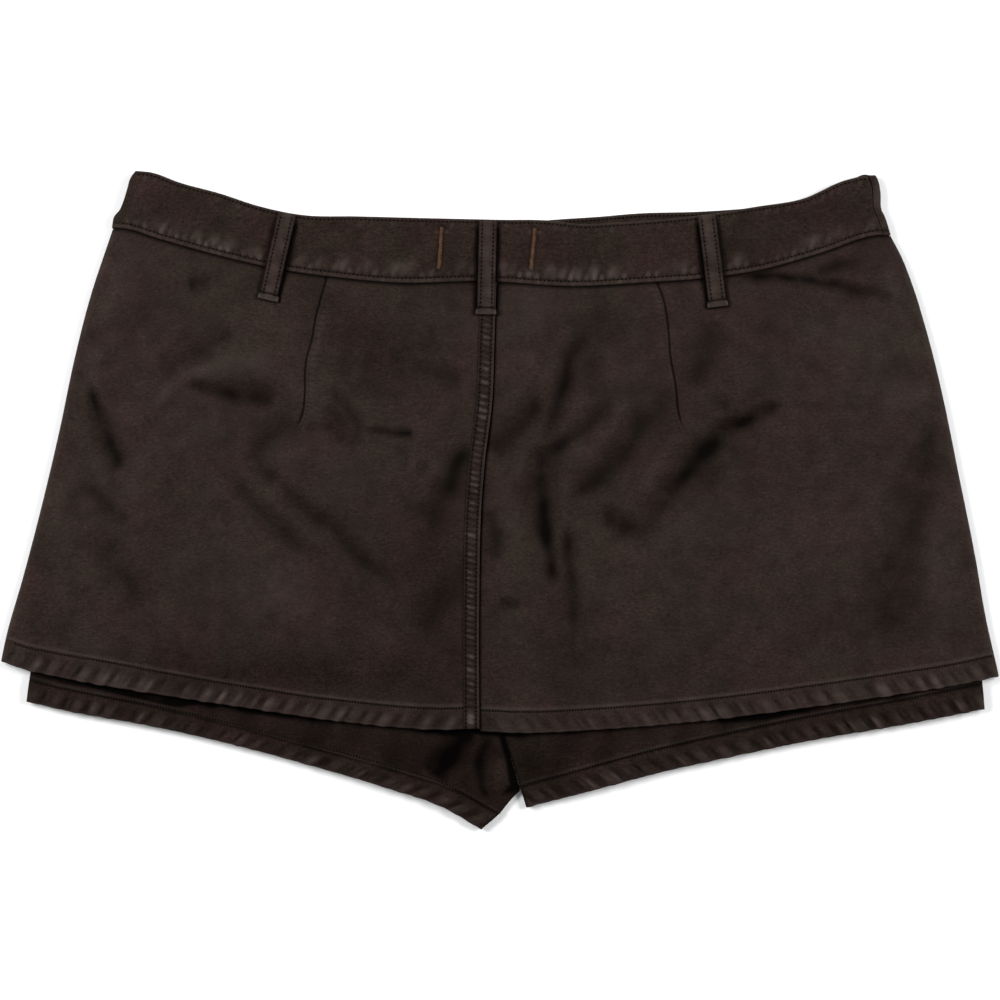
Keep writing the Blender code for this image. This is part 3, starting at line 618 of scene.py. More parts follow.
class Nodes:
    """Short calls that add and join shader nodes."""

    def __init__(self, name):
        self.material = bpy.data.materials.new(name)
        self.material.use_nodes = True
        self.tree = self.material.node_tree
        self.shader = self.tree.nodes["Principled BSDF"]
        self.place = self.add("ShaderNodeTexCoord").outputs["Object"]

    def feed(self, socket, value):
        """Links another node's output to a socket, or sets the socket's own value."""
        if isinstance(value, bpy.types.NodeSocket):
            self.tree.links.new(value, socket)
        else:
            socket.default_value = value

    def add(self, kind, inputs=None, **settings):
        node = self.tree.nodes.new(kind)
        for key, value in settings.items():
            setattr(node, key, value)
        for key, value in (inputs or {}).items():
            self.feed(node.inputs[key], value)
        return node

    def math(self, operation, first, second, clamp=False):
        inputs = {0: first, 1: second}
        return self.add("ShaderNodeMath", inputs, operation=operation, use_clamp=clamp).outputs[0]

    def blend(self, first, second, share):
        """A share of the first number, and the rest from the second."""
        first, second = self.math("MULTIPLY", first, share), self.math("MULTIPLY", second, 1 - share)
        return self.math("ADD", first, second)

    def remap(self, value, low, high, start=0.0, end=1.0):
        inputs = {0: value, 1: low, 2: high, 3: start, 4: end}
        return self.add("ShaderNodeMapRange", inputs).outputs[0]

    def noise(self, vector, scale, detail=2.0, roughness=0.5):
        inputs = {"Vector": vector, "Scale": scale, "Detail": detail, "Roughness": roughness}
        return self.add("ShaderNodeTexNoise", inputs).outputs["Fac"]

    def mapped(self, **inputs):
        return self.add("ShaderNodeMapping", {"Vector": self.place, **inputs}).outputs[0]

    def attribute(self, name):
        return self.add("ShaderNodeAttribute", attribute_name=name).outputs["Fac"]

    def mix(self, factor, first, second, blend="MIX"):
        node = self.add("ShaderNodeMix", data_type="RGBA", blend_type=blend, clamp_factor=True)
        for number, value in ((0, factor), (6, first), (7, second)):
            self.feed(node.inputs[number], value)
        return node.outputs[2]

    def bump(self, height, distance, strength, normal=None):
        inputs = {"Height": height, "Distance": distance, "Strength": strength}
        if normal is not None:
            inputs["Normal"] = normal
        return self.add("ShaderNodeBump", inputs).outputs[0]

    def shade(self, inputs):
        """The material, with these inputs of its shader."""
        for key, value in inputs.items():
            self.feed(self.shader.inputs[key], value)
        return self.material


CLOTH_DARK = (0.0092, 0.0053, 0.0043, 1.0)
CLOTH_LIGHT = (0.0195, 0.0118, 0.0098, 1.0)
# Colour of rubbed cloth, also used for painted highlight
CLOTH_WORN_AND_LIT = (0.0700, 0.0530, 0.0470, 1.0)
# Colour of painted shade
CLOTH_PAINTED_SHADE = (0.0004, 0.0003, 0.0003, 1.0)
REDDISH = (1.09, 0.95, 1.01, 1.0)
OLIVE = (0.93, 1.05, 0.90, 1.0)
TWILL_TURN = math.radians(32)


def cloth_material(name, worn_and_lit=1.0, glint=0.065):
    """Dark brown coated twill: mottled colour, fine twill and grain, paler where it is rubbed and where
    highlight is painted, and darker where shade is painted.
    """
    nodes = Nodes(name)
    blotches = nodes.noise(nodes.place, 85.0, 3.0, 0.5)
    tone = nodes.remap(nodes.blend(nodes.noise(nodes.place, 17.0, 3.0, 0.55), blotches, 0.55), 0.34, 0.66)
    hue = nodes.remap(nodes.noise(nodes.place, 26.0, 3.0, 0.6), 0.4, 0.6)
    lying = nodes.mapped(Scale=(0.55, 1.0, 1.0))
    strokes = nodes.noise(lying, 780.0, 3.0, 0.7)
    grains = nodes.blend(strokes, nodes.noise(nodes.place, 1350.0, 2.0, 0.6), 0.5)
    flecks = nodes.math("MULTIPLY", nodes.remap(strokes, 0.62, 0.76, 0.0, 0.3), tone)
    patchy = nodes.math("MULTIPLY", nodes.math("ADD", blotches, 0.45), worn_and_lit)
    # Paler by the points' wear together with painted highlight, then darker by their painted shade
    rub_and_highlight = nodes.math("MULTIPLY", nodes.attribute("wear"), patchy, clamp=True)
    hollow = nodes.attribute("shade")
    colour = nodes.mix(tone, CLOTH_DARK, CLOTH_LIGHT)
    colour = nodes.mix(1.0, colour, nodes.mix(hue, REDDISH, OLIVE), "MULTIPLY")
    colour = nodes.mix(1.0, colour, nodes.remap(grains, 0.39, 0.61, 0.45, 1.6), "MULTIPLY")
    colour = nodes.mix(flecks, colour, CLOTH_WORN_AND_LIT)
    colour = nodes.mix(rub_and_highlight, colour, CLOTH_WORN_AND_LIT)
    colour = nodes.mix(hollow, colour, CLOTH_PAINTED_SHADE)
    rough = nodes.remap(blotches, 0.3, 0.7, 0.60, 0.48)
    turned = nodes.mapped(Rotation=(0.0, 0.0, TWILL_TURN))
    wave = {"Vector": turned, "Scale": 400.0, "Distortion": 1.6, "Detail": 1.0, "Detail Scale": 0.6}
    twill = nodes.add("ShaderNodeTexWave", wave, bands_direction="X").outputs["Fac"]
    normal = nodes.bump(nodes.noise(lying, 300.0, 4.0, 0.65), 0.0008, 0.6)
    normal = nodes.bump(grains, 0.00016, 0.7, normal)
    return nodes.shade({
        "Base Color": colour,
        "Roughness": nodes.math("ADD", rough, nodes.math("MULTIPLY", hollow, 0.3), clamp=True),
        "Specular IOR Level": glint,
        "Specular Tint": (1.0, 0.80, 0.68, 1.0),
        "Sheen Weight": 0.015,
        "Sheen Roughness": 0.5,
        "Sheen Tint": (0.75, 0.62, 0.55, 1.0),
        "Normal": nodes.bump(twill, 0.00005, 0.5, normal),
    })


def thread_material(name, dark, light, roughness):
    nodes = Nodes(name)
    ply = {"Vector": nodes.place, "Scale": 900.0, "Distortion": 0.5, "Detail": 0.0}
    twist = nodes.add("ShaderNodeTexWave", ply, bands_direction="DIAGONAL").outputs["Fac"]
    return nodes.shade({
        "Base Color": nodes.mix(nodes.noise(nodes.place, 500.0), (*dark, 1.0), (*light, 1.0)),
        "Roughness": roughness,
        "Specular IOR Level": 0.05,
        "Normal": nodes.bump(twist, 0.00006, 0.6),
    })


def floor_material():
    nodes = Nodes("pale_floor")
    colour = nodes.mix(nodes.noise(nodes.place, 6.0), (0.94, 0.94, 0.94, 1.0), (0.96, 0.96, 0.96, 1.0))
    return nodes.shade({"Base Color": colour, "Roughness": 0.9, "Specular IOR Level": 0.1})


# Each slot's cloth
CLOTHS = {
    "skirt_cloth": cloth_material("skirt_coated_twill"),
    "shorts_cloth": cloth_material("shorts_coated_twill", glint=0.03),
    "waistband_cloth": cloth_material("waistband_coated_twill"),
    "belt_loop_cloth": cloth_material("belt_loop_coated_twill", worn_and_lit=0.9),
}
BROWN_THREAD = thread_material("brown_thread", (0.006, 0.004, 0.003), (0.030, 0.020, 0.015), 0.8)
RUST_THREAD = thread_material("rust_thread", (0.045, 0.024, 0.014), (0.140, 0.072, 0.040), 0.8)
# Dark grains that stand in for the shade inside the needle holes
NEEDLE_HOLE_SHADE = thread_material("needle_hole_shade", (0.0006, 0.0004, 0.0003), (0.0014, 0.0009, 0.0007), 0.95)


# ---------------------------------------------------------------- pieces

# Cloth pieces by the node that each stands for, and the pieces sewn to each
PIECES = {}
SEWN = {}


def slot_of(node):
    return next(slot for slot in CLOTHS if node.startswith(slot.removesuffix("_cloth")))


def linked(name, data):
    """A new object with this data, in the scene."""
    item = bpy.data.objects.new(name, data)
    bpy.context.scene.collection.objects.link(item)
    return item


def mesh_piece(name, points, faces, material, slot, **attributes):
    """A smooth-shaded piece from points in millimetres, with a number on every point for each attribute."""
    data = bpy.data.meshes.new(name)
    data.from_pydata((np.asarray(points) * MM).tolist(), [], faces)
    for key, values in attributes.items():
        attribute = data.attributes.new(key, "FLOAT", "POINT")
        attribute.data.foreach_set("value", np.clip(np.asarray(values, np.float32), 0.0, 1.0))
    data.shade_smooth()
    data.update()
    data.materials.append(material)
    piece = linked(name, data)
    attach(piece, "root")
    return piece


def grid_faces(index, flip=False):
    """Quads between neighbouring indices of a grid, facing up, or down when flipped."""
    corners = [index[:-1, :-1], index[1:, :-1], index[1:, 1:], index[:-1, 1:]]
    if flip:
        corners.reverse()
    return np.stack([corner.ravel() for corner in corners], axis=1).tolist()


def shell(name, slot, x, y, z, half, **attributes):
    """A closed skin at half a thickness above and below a grid of points, meeting along its border."""
    points = np.stack([x, y, z], axis=2)
    normal = np.cross(np.gradient(points, axis=0), np.gradient(points, axis=1))
    normal /= np.linalg.norm(normal, axis=2)[..., None]
    above, below = points + normal * half[..., None], points - normal * half[..., None]
    rows, columns = half.shape
    upper = np.arange(rows * columns).reshape(rows, columns)
    lower = upper.copy()
    lower[1:-1, 1:-1] = rows * columns + np.arange((rows - 2) * (columns - 2)).reshape(rows - 2, columns - 2)
    vertices = np.concatenate([above.reshape(-1, 3), below[1:-1, 1:-1].reshape(-1, 3)])
    for key, values in attributes.items():
        attributes[key] = np.concatenate([values.ravel(), values[1:-1, 1:-1].ravel()])
    faces = grid_faces(upper) + grid_faces(lower, flip=True)
    return mesh_piece(name, vertices, faces, CLOTHS[slot], slot, **attributes)


def cloth_piece(node, x, y, z, half, **attributes):
    """The shell that stands for one of the frame's nodes."""
    piece = shell(f"{node}_cloth", slot_of(node), x, y, z, half, **attributes)
    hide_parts(node)
    PIECES[node] = piece
    SEWN[node] = []


# ---------------------------------------------------------------- skirt


def hem_shape(cloth, stitch, slant, seed, strong):
    """Height added under a stitched hem, the wall's thickness, how much the hem is rubbed and given painted
    highlight, and the painted shade between its puckers.
    """
    bottom = cloth.bottom
    leaning = cloth.left - slant * (stitch - bottom)
    crest = strong * puckers(leaning, HEM_PUCKER_PITCH, seed)
    small = strong * puckers(leaning, HEM_PUCKER_PITCH / 2.3, seed + 1, 0.0)
    fleck = strong * puckers(leaning - 1.5, HEM_FLECK_PITCH, seed + 2, 0.0) ** 3
    behind = strong * puckers(leaning, HEM_FLECK_PITCH, seed + 2, 0.0) ** 3
    below = soft_step((stitch - bottom) / 5.0)
    above = 0.30 * bump(bottom - stitch - 4.0, 3.5)
    rise = HEM_PUCKER_RISE * ((below + above) * crest + 0.35 * below * small)
    wall = WALL + (HEM_WALL - WALL) * (1 - soft_step((bottom - stitch - 1.2) / 1.6))
    wall = wall - 0.6 * bump(bottom - stitch, 0.9) * beat(cloth.left, 0.8, 0.2, HEM_STITCH_PITCH)
    # Wear and painted highlight on the puckers' crests, in pale flecks, along the hem's fold and on the ridge
    # above the stitches
    crests = 0.55 * below * crest**1.6 * bump(bottom - 4.2, 3.8)
    crests = crests + 0.4 * below * small**3 * bump(bottom - 5.6, 2.6)
    flecks = 1.35 * below * fleck * bump(bottom - 4.2, 3.4) * (0.4 + 0.6 * crest)
    fold = 0.38 * bump(bottom - 0.5, 0.7) * (0.5 + 0.5 * crest)
    row = 0.28 * bump(bottom - stitch - 1.6, 0.6)
    # Painted shade between the puckers and behind the flecks
    valleys = 0.5 * strong * below * np.clip(1 - 2.2 * crest - small, 0.0, 1.0) * bump(bottom - 6.0, 4.5)
    valleys = valleys + 0.45 * below * behind * bump(bottom - 5.2, 3.4)
    return rise, wall, crests + flecks + fold + row, valleys


def scallop(cloth, pucker):
    """How far the hem is drawn in by its puckers."""
    return HEM_SCALLOP * bump(cloth.bottom, 3.0) * pucker


def skirt_lift(x, y):
    """Height of the skirt's back over the shorts, with its creases, and their painted shade and highlight."""
    rise = puff(x, y)
    seam_air = 1.5 * soft_step((SEAM.y_at(x) - y - 0.5) / 9.0) * (1 - rise) * soft_step((y - hem_y(x)) / 60)
    air = SKIRT_AIR * rise + seam_air * soft_step(from_side(x, y) / 18.0)
    swell = 0.75 * wander(x, y, 95.0, 5) + 0.36 * wander(x, y, 42.0, 9) + 0.09 * wander(x, y, 18.0, 13)
    creases, dark = creased(SKIRT_CREASES, x, y)
    room = np.minimum(1.0, air / 1.6)
    return np.maximum(air + (creases + swell) * room, 0.3 * rise), creases, dark


def course(x0, y0, x1, y1):
    """A straight line's start and end, its length, and the directions along it and to its left."""
    start, end = np.array((x0, y0)), np.array((x1, y1))
    run = float(np.hypot(*(end - start)))
    ahead = (end - start) / run
    return start, end, run, ahead, np.array((-ahead[1], ahead[0]))


def loop_shade(x, y):
    """How dark the gaps are on either side of a belt loop, and below it."""
    dark = np.zeros(x.shape)
    for loop in LOOPS:
        start, _, reach, ahead, aside = course(*loop[1:5])
        offset = (x - start[0]) * aside[0] + (y - start[1]) * aside[1]
        along = (x - start[0]) * ahead[0] + (y - start[1]) * ahead[1]
        beside = np.abs(offset) - LOOP_WIDTH / 2
        within = soft_step((along - 2.0) / 4.0) * (1 - soft_step((along - reach) / 1.5))
        sides = np.where(offset > 0, loop.dark_east, loop.dark_west)
        dark = np.maximum(dark, sides * bump(np.maximum(beside - 0.9, 0.0), 1.3) * within)
        foot = bump(np.maximum(along - reach, 0.0), 1.3) * (1 - soft_step(beside / 1.5))
        dark = np.maximum(dark, 0.9 * (foot * soft_step((along - reach + 4) / 4)))
    return dark


def patch_light_and_shade(x, y):
    """Broad soft patches of painted highlight, a little paler, or where negative of painted shade, a little
    darker.
    """
    total = np.zeros(x.shape)
    for at_x, at_y, wide, tall, tone in SKIRT_PATCHES:
        total += tone * np.exp(-(((x - at_x) / wide) ** 2) - ((y - at_y) / tall) ** 2)
    return total


def dart_shape(x, y, side):
    """Height of a dart, which steps up towards the centre, with painted highlight on its ridge and tucks and
    painted shade in its groove.
    """
    edge = Edge(side.dart)
    line = edge.at(np.linspace(0, edge.length, 40)).T
    foot = line[:, 1].min()
    near = (np.abs(x - line[:, 0].mean()) < 24) & (y > foot - 12)
    rise, rubbed_and_lit, dark = np.zeros((3, *x.shape))
    away, share = line_distance(line, x[near], y[near])
    turn = np.sign(x[near] - edge.x_at(y[near])) * side.way
    off = away * np.where(turn == 0, 1.0, turn)
    fade = soft_step((1 - share) * 12) * soft_step((y[near] - foot + 3) / 5)
    step = 0.45 * soft_step(off + 0.5) * (1 - soft_step(off / 11.0))
    groove = -0.85 * bump(off + 0.6, 0.8)
    ridge = 0.12 * bump(off - 0.6, 0.6) - 0.14 * bump(off - 1.9, 0.7)
    tucks = 0.13 * uneven(y[near], 3.4, 2.0) * bump(off - 3.2, 2.4)
    rise[near] = fade * (step + groove + ridge + tucks)
    rubbed_and_lit[near] = fade * (0.17 * bump(off - 1.4, 0.5) + 0.22 * np.clip(tucks / 0.13, 0, 1))
    dark[near] = fade * 0.9 * bump(off + 0.4, 0.95)
    return rise, rubbed_and_lit, dark


def skirt_edges(side, inset, down=0.0, hem_up=0.0):
    """Cut edges of one half: its side is set in, its waist seam moved down and its hem up."""
    gap = side.way * SEAM_GAP / 2
    seam = sorted((SEAM.where(side.seam_end + side.way * inset), SEAM_MIDDLE - gap))
    start, end = (inset, SEAM_GAP / 2)[:: side.way]
    outer, inner = side.edge.moved(side.way * inset), FELL.moved(-gap)
    hem = side.hem.part(start, side.hem.length - end, hem_up)
    return SEAM.part(*seam, -SEAM_GAP / 2 - down), hem, *(outer, inner)[:: side.way]


def make_skirt_back(side):
    """One back half of the skirt, rolled down at its side edge."""
    left, right = (sorted(set(roll_lanes(SIDE_ROLL) + RIM)), RIM)[:: side.way]
    hem = (HEM_LANES, HEM_LANES)
    cloth = Cloth(skirt_edges(side, WALL / 2), SKIRT_BACK_GRID, RIM, left, right, hem, side.dense)
    x, y = cloth.x, cloth.y
    outer, inner = cloth.from_ends(side)
    lift, creases, creased_dark = skirt_lift(x, y)
    stitch = reading(SKIRT_HEM_STITCH, x)
    pucker, wall, rubbed_and_lit, valleys = hem_shape(cloth, stitch, *side.puckers, reading(HEM_PUCKER_SHARE, x))
    dart_rise, dart_rubbed_and_lit, dart_dark = dart_shape(x, y, side)
    gaps = loop_shade(x, y)
    # Painted shade in the creases, under the band's edge, along the hem's stitches, in the dart's groove,
    # between the hem's puckers, beside the belt loops and in the broad dark patches
    dark = np.maximum(np.maximum(creased_dark, 0), 0.9 * bump(cloth.top, 1.5))
    dark = dark + 0.35 * bump(cloth.bottom - stitch, 0.8) + dart_dark + valleys
    dark = np.maximum(dark, gaps)
    # Painted shadow of the fell along the right half's inner edge
    if side is RIGHT:
        dark = dark + 0.8 * bump(inner, 1.1)
    low = WALL + SEAM_GAP
    middle = 3 * LAYER_PITCH + lift + pucker + dart_rise - 0.5 * gaps + wall / 2
    rolled = np.clip(outer / SIDE_ROLL, 0.0, 1.0)
    z = low + (middle - low) * np.sqrt(1 - (1 - rolled) ** 2)
    half = np.minimum(rounded(wall, cloth.inside()), wall / 2)
    # Wear and painted highlight on the hem, the dart, the rolled side, the creases' crests, the broad pale
    # patches and beside the creases
    wear = rubbed_and_lit + dart_rubbed_and_lit + 0.15 * bump(outer, 1.4) + 0.10 * np.clip(creases, 0, 1) + 0.08
    wear = wear + 1.3 * patch_light_and_shade(x, y) + 0.8 * np.clip(-creased_dark, 0, 1)
    leaning = y - ROLL_LEAN * (1 - rolled) - scallop(cloth, pucker)
    cloth_piece(f"skirt_back_{side.name}", x, leaning, z, half, wear=wear, shade=dark - patch_light_and_shade(x, y) * 3.0)


def make_skirt_front(side):
    """One front half, which lies on the ground. Its creases lift it a little."""
    edges = skirt_edges(side, 0.0, FRONT_SEAM_DOWN, FRONT_HEM_UP)
    cloth = Cloth(edges, SKIRT_FRONT_GRID, RIM, bottoms=(FRONT_HEM_LANES, FRONT_HEM_LANES))
    x, y = cloth.x, cloth.y
    stitched = bump(cloth.bottom - reading(SKIRT_HEM_STITCH, x), 0.9)
    soft = creased(SKIRT_CREASES, -x, y)[0] * 0.25 + 0.2 * wander(x, y, 60.0, 21)
    z = WALL / 2 + np.clip(soft, 0.0, 0.6) * puff(x, y)
    half = rounded(WALL - 0.3 * stitched, cloth.inside(), WALL / 2)
    # Paler along the hem's fold with wear and painted highlight
    cloth_piece(f"skirt_front_{side.name}", x, y, z, half, wear=0.1 + 0.5 * bump(cloth.bottom, 1.0))


# ---------------------------------------------------------------- shorts


def shorts_front_under(x, y):
    past_skirt = hem_y(x) - LEG_DROP_START - y
    return (LAYER_PITCH + SHORTS_FRONT_AIR * puff(x, y)) * (1 - soft_step(past_skirt / LEG_DROP))


def leg_shade(cloth, stitch):
    """Dark under the skirt and in the shadow of its hem, and paler on the leg's own hem."""
    x, y = cloth.x, cloth.y
    reach = reading(HEM_SHADOW, x)
    past = (hem_y(x) - y - reach) / (2.0 + 2.5 * soft_step(2 - reach))
    dark = 0.42 + (0.2 + 0.45 * soft_step(reach)) * (1 - soft_step(past))
    dark = dark + 0.16 * np.clip(wander(x, y, 30.0, 35), -1, 1)
    on_hem = soft_step((stitch + 0.6 - cloth.bottom) / 3.0)
    return dark * (1 - 0.55 * on_hem) + 0.3 * bump(cloth.bottom - stitch, 1.1)


def make_leg(side):
    """Back and front of a leg. Only its lower part shows, below the skirt's hem."""
    gap = side.way * SEAM_GAP / 2
    top = SEAM.part(*sorted((SEAM.where(side.leg_edge.xs[0]), SEAM_MIDDLE - gap)), -SEAM_GAP / 2)
    inner_edge = side.leg_inner.moved(-gap)
    bottoms = (LEG_OUTER_LANES, LEG_INNER_LANES)[:: side.way]
    edges = (top, side.leg_hem, *(side.leg_edge, inner_edge)[:: side.way])
    cloth = Cloth(edges, LEG_BACK_GRID, RIM, bottoms=bottoms)
    x, y = cloth.x, cloth.y
    inside = np.minimum(cloth.left, cloth.right)
    inner = cloth.from_ends(side)[1]
    stitch = reading(side.leg_stitch, x)
    pucker, wall, rubbed_and_lit, valleys = hem_shape(cloth, stitch, *side.leg_puckers, LEG_PUCKER_SHARE)
    air = (SHORTS_BACK_AIR - SHORTS_FRONT_AIR) * puff(x, y)
    shows = soft_step((hem_y(x) - y) / LEG_SHOW + 0.5)
    leg = LEG_AIR * soft_step(inside / LEG_REACH)
    leg = leg + 0.25 * wander(x, y, 42.0, 31) + 0.1 * wander(x, y, 15.0, 33)
    # Painted shade under the skirt and painted shadow of its hem, between the hem's puckers, in the creases
    # by the crotch and along the inner edge
    dark = leg_shade(cloth, stitch) + valleys
    if side is LEFT:
        leg_rise, leg_dark = creased(LEG_CREASES, x, y)
        leg = leg + leg_rise * soft_step(inner / 3.0)
        dark = np.where(leg_dark > 0, np.maximum(dark, leg_dark), dark + leg_dark)
        turned = bump(np.maximum(inner - 2.6 - 2.4 * soft_step((-150.0 - y) / 18.0), 0.0), 2.2)
        dark = np.maximum(dark, turned * soft_step((y + 177.0) / 6.0))
    else:
        dark = np.maximum(dark, 0.95 * bump(inner, 0.9 + 0.8 * soft_step((-170.0 - y) / 4.0)))
    lift = np.maximum(air, np.maximum(leg, 0.0) * shows) + pucker * soft_step(inside / 3.0)
    z = shorts_front_under(x, y) + LAYER_PITCH + lift + wall / 2
    half = rounded(wall, cloth.inside(), WALL)
    node = f"shorts_back_{side.name}"
    cloth_piece(node, x, y - scallop(cloth, pucker), z, half, wear=rubbed_and_lit + 0.05, shade=dark)

    edges = (top, side.leg_hem, *(side.leg_edge, inner_edge.moved(FRONT_INSEAM_RIGHT))[:: side.way])
    coarse = [RIM + lanes[8:26] + lanes[27::3] for lanes in bottoms]
    cloth = Cloth(edges, LEG_FRONT_GRID, RIM, bottoms=coarse)
    x, y = cloth.x, cloth.y
    stitched = bump(cloth.bottom - reading(side.leg_stitch, x), 0.9)
    half = rounded(WALL - 0.3 * stitched, cloth.inside(), WALL / 2)
    # Paler along the hem's fold with wear and painted highlight, and painted shade along the inner edge
    wear, dark = 0.1 + 0.5 * bump(cloth.bottom, 1.0), 0.95 * bump(cloth.from_ends(side)[1], 3.0)
    node = f"shorts_front_{side.name}"
    cloth_piece(node, x, y, shorts_front_under(x, y) + WALL / 2, half, wear=wear, shade=dark)


# ---------------------------------------------------------------- waistband


def band_relief(cloth, seed):
    """Height, wear with painted highlight, and painted shade of a stitched band: dents along both rows,
    puckers beside them, soft swells.
    """
    along, top, bottom, x, y = cloth.left, cloth.top, cloth.bottom, cloth.x, cloth.y
    strong = 0.6 + 0.4 * bump(x - 48.0, 50.0) + 0.3 * bump(x + 185.0, 30.0) + 0.15 * bump(x - 170.0, 40.0)
    tall = 1.6 + 6.0 * puckers(along, 12.0, seed + 5, 0.0)
    tucks = puckers(along, 4.9, seed, 0.15) * bump(np.maximum(bottom - 4.4, 0.0), tall)
    tucks = tucks * soft_step((bottom - 2.8) / 1.2)
    long_tucks = puckers(along, 11.0, seed + 1, 0.0) * soft_step((bottom - 3.2) / 2.0) * bump(bottom - 6, 8)
    lumps = puckers(along + 0.3 * bottom, 14.0, seed + 6, 0.0) * bump(bottom - 8.5, 4.2)
    upper = puckers(along, 6.3, seed + 2, 0.0) * bump(top - 4.2, 2.2)
    lower = puckers(along, 4.6, seed + 3, 0.0) * bump(bottom - 1.4, 1.0)
    relief = 0.58 * strong * tucks + 0.50 * strong * long_tucks + 0.55 * strong * lumps + 0.2 * upper
    relief = relief + 0.22 * wander(x, y, 46.0, 41) + 0.08 * wander(x, y, 14.0, 43)
    rows = bump(top - BAND_TOP_STITCH, 0.6), bump(bottom - BAND_BOTTOM_STITCH, 0.7)
    relief = relief - (0.32 * rows[0] + 0.42 * rows[1]) * beat(along, 0.75, 0.25)
    relief = relief + 0.30 * bump(bottom - 1.3, 1.0)
    wear = 1.05 * strong * tucks**1.7 + 0.55 * strong * long_tucks**2 + 0.55 * strong * lumps**1.6
    wear = wear + 0.3 * upper**2 + 0.35 * lower + 0.02
    wear = wear + 0.22 * bump(bottom - 1.2, 0.8) + 0.2 * bump(top - 0.5, 0.6)
    return relief, wear, 0.3 * rows[0] + 0.5 * rows[1] + 0.25 * bump(bottom, 0.5)


def make_back_band():
    """The back band, which lies over the front ones, with the marks of the label's tacks."""
    edges = (
        WAIST.part(0.0, WAIST.where(BAND_RIGHT_END[0][0] - BAND_SIDE_OVERLAP)),
        SEAM.part(0.0, SEAM.where(BAND_RIGHT_END[-1][0] - BAND_SIDE_OVERLAP), SEAM_GAP / 2),
        Edge(BAND_LEFT_END).moved(0.3),
        Edge(BAND_RIGHT_END).moved(-BAND_SIDE_OVERLAP),
    )
    cloth = Cloth(edges, BAND_BACK_GRID, BAND_RIM, right=BAND_CRISP_RIM)
    x, y = cloth.x, cloth.y
    relief, wear, dark = band_relief(cloth, 4)
    gaps = loop_shade(x, y)
    dark, relief = np.maximum(dark, gaps), relief - 0.5 * gaps
    for x0, y0, x1, y1 in LABEL_TACKS:
        away, _ = line_distance(np.array([(x0, y0), (x1, y1)]), x, y)
        # Painted highlight on small puckers at the tacks' upper ends, and painted shade beside the threads
        ends = bump(y - y0 + 2.4, 0.7) * bump(np.abs(x - x0) - 2.6, 1.4)
        relief = relief - 0.25 * bump(away, 1.1) + 0.2 * ends
        dark = np.maximum(dark, 0.6 * bump(away - 1.5, 0.8))
        wear = wear + 0.55 * ends
    inside = np.minimum(np.minimum(cloth.left, cloth.right / SEAM_CRISP), np.minimum(cloth.top, cloth.bottom))
    half = rounded(BAND_WALL, inside, BAND_RADIUS)
    cloth_piece("waistband_back", x, y, BAND_LIFT + BAND_WALL / 2 + relief, half, wear=wear, shade=dark)


def make_front_bands():
    """The two front bands. The right one turns up round the side, on to the back."""
    gap, half_stack = SEAM_GAP / 2, (BAND_LIFT + BAND_WALL) / 2
    middle = FRONT_WAIST.where(CENTRE_BACK[0][0])
    centre = Edge([FRONT_WAIST.at(middle), SEAM.at(SEAM_MIDDLE)])
    edges = (
        FRONT_WAIST.part(0.0, middle - gap),
        SEAM.part(0.0, SEAM_MIDDLE - gap, gap - FRONT_SEAM_DOWN),
        Edge(BAND_LEFT_END),
        centre.moved(-gap),
    )
    cloth = Cloth(edges, BAND_FRONT_GRID, BAND_RIM)
    relief, wear, dark = band_relief(cloth, 19)
    z = BAND_WALL / 2 + 0.3 * np.clip(relief, 0.0, 1.0)
    half = rounded(BAND_FRONT_WALL, cloth.inside(), BAND_RADIUS)
    cloth_piece("waistband_front_left", cloth.x, cloth.y, z, half, wear=wear, shade=dark)

    edges = (
        FRONT_WAIST.part(middle + gap, FRONT_WAIST.where(BAND_RIGHT_END[0][0] - half_stack)),
        SEAM.part(SEAM_MIDDLE + gap, SEAM.where(BAND_RIGHT_END[-1][0] - half_stack), gap - FRONT_SEAM_DOWN),
        centre.moved(gap),
        Edge(BAND_RIGHT_END).moved(-half_stack),
    )
    cloth = Cloth(edges, BAND_FRONT_GRID, BAND_RIM, right=(0.0,))
    relief, wear, dark = band_relief(cloth, 31)
    z = BAND_WALL / 2 + 0.3 * np.clip(relief, 0.0, 1.0) * soft_step(cloth.right / 8.0)
    edge = np.minimum(np.minimum(cloth.left, cloth.top), cloth.bottom)

    # Columns past the side: how far each lies from the last one, its height, and how near to the seam
    radius = half_stack - BAND_WALL / 2
    run = BAND_SIDE_OVERLAP - half_stack - SIDE_SEAM_GAP
    turn = np.linspace(0.0, math.pi, 13)[1:]
    past = [(radius * math.sin(angle), half_stack - radius * math.cos(angle), math.inf) for angle in turn]
    flat = [run - step for step in np.arange(0.3, run - BAND_CRISP_RIM[-1], 0.3)] + BAND_CRISP_RIM[::-1]
    past += [(left_over - run, half_stack + radius, left_over / SEAM_CRISP) for left_over in flat]
    shifts, heights, nears = np.array(past).T
    last_edge = np.minimum(cloth.top, cloth.bottom)[:, -1:]
    x = np.hstack([cloth.x, cloth.x[:, -1:] + shifts])
    z = np.hstack([z, np.broadcast_to(heights, (len(z), len(past)))])
    edge = np.hstack([edge, np.minimum(last_edge, nears)])
    y, wear, dark = (np.pad(part, ((0, 0), (0, len(past))), "edge") for part in (cloth.y, wear, dark))
    # Painted highlight where the band turns round the side
    wear = wear + 0.3 * bump(x - 222.0, 4.0) * bump(y - 179.0, 8.0)
    half = rounded(BAND_FRONT_WALL, edge, BAND_RADIUS)
    cloth_piece("waistband_front_right", x, y, z, half, wear=wear, shade=dark)


# ---------------------------------------------------------------- fell and belt loops


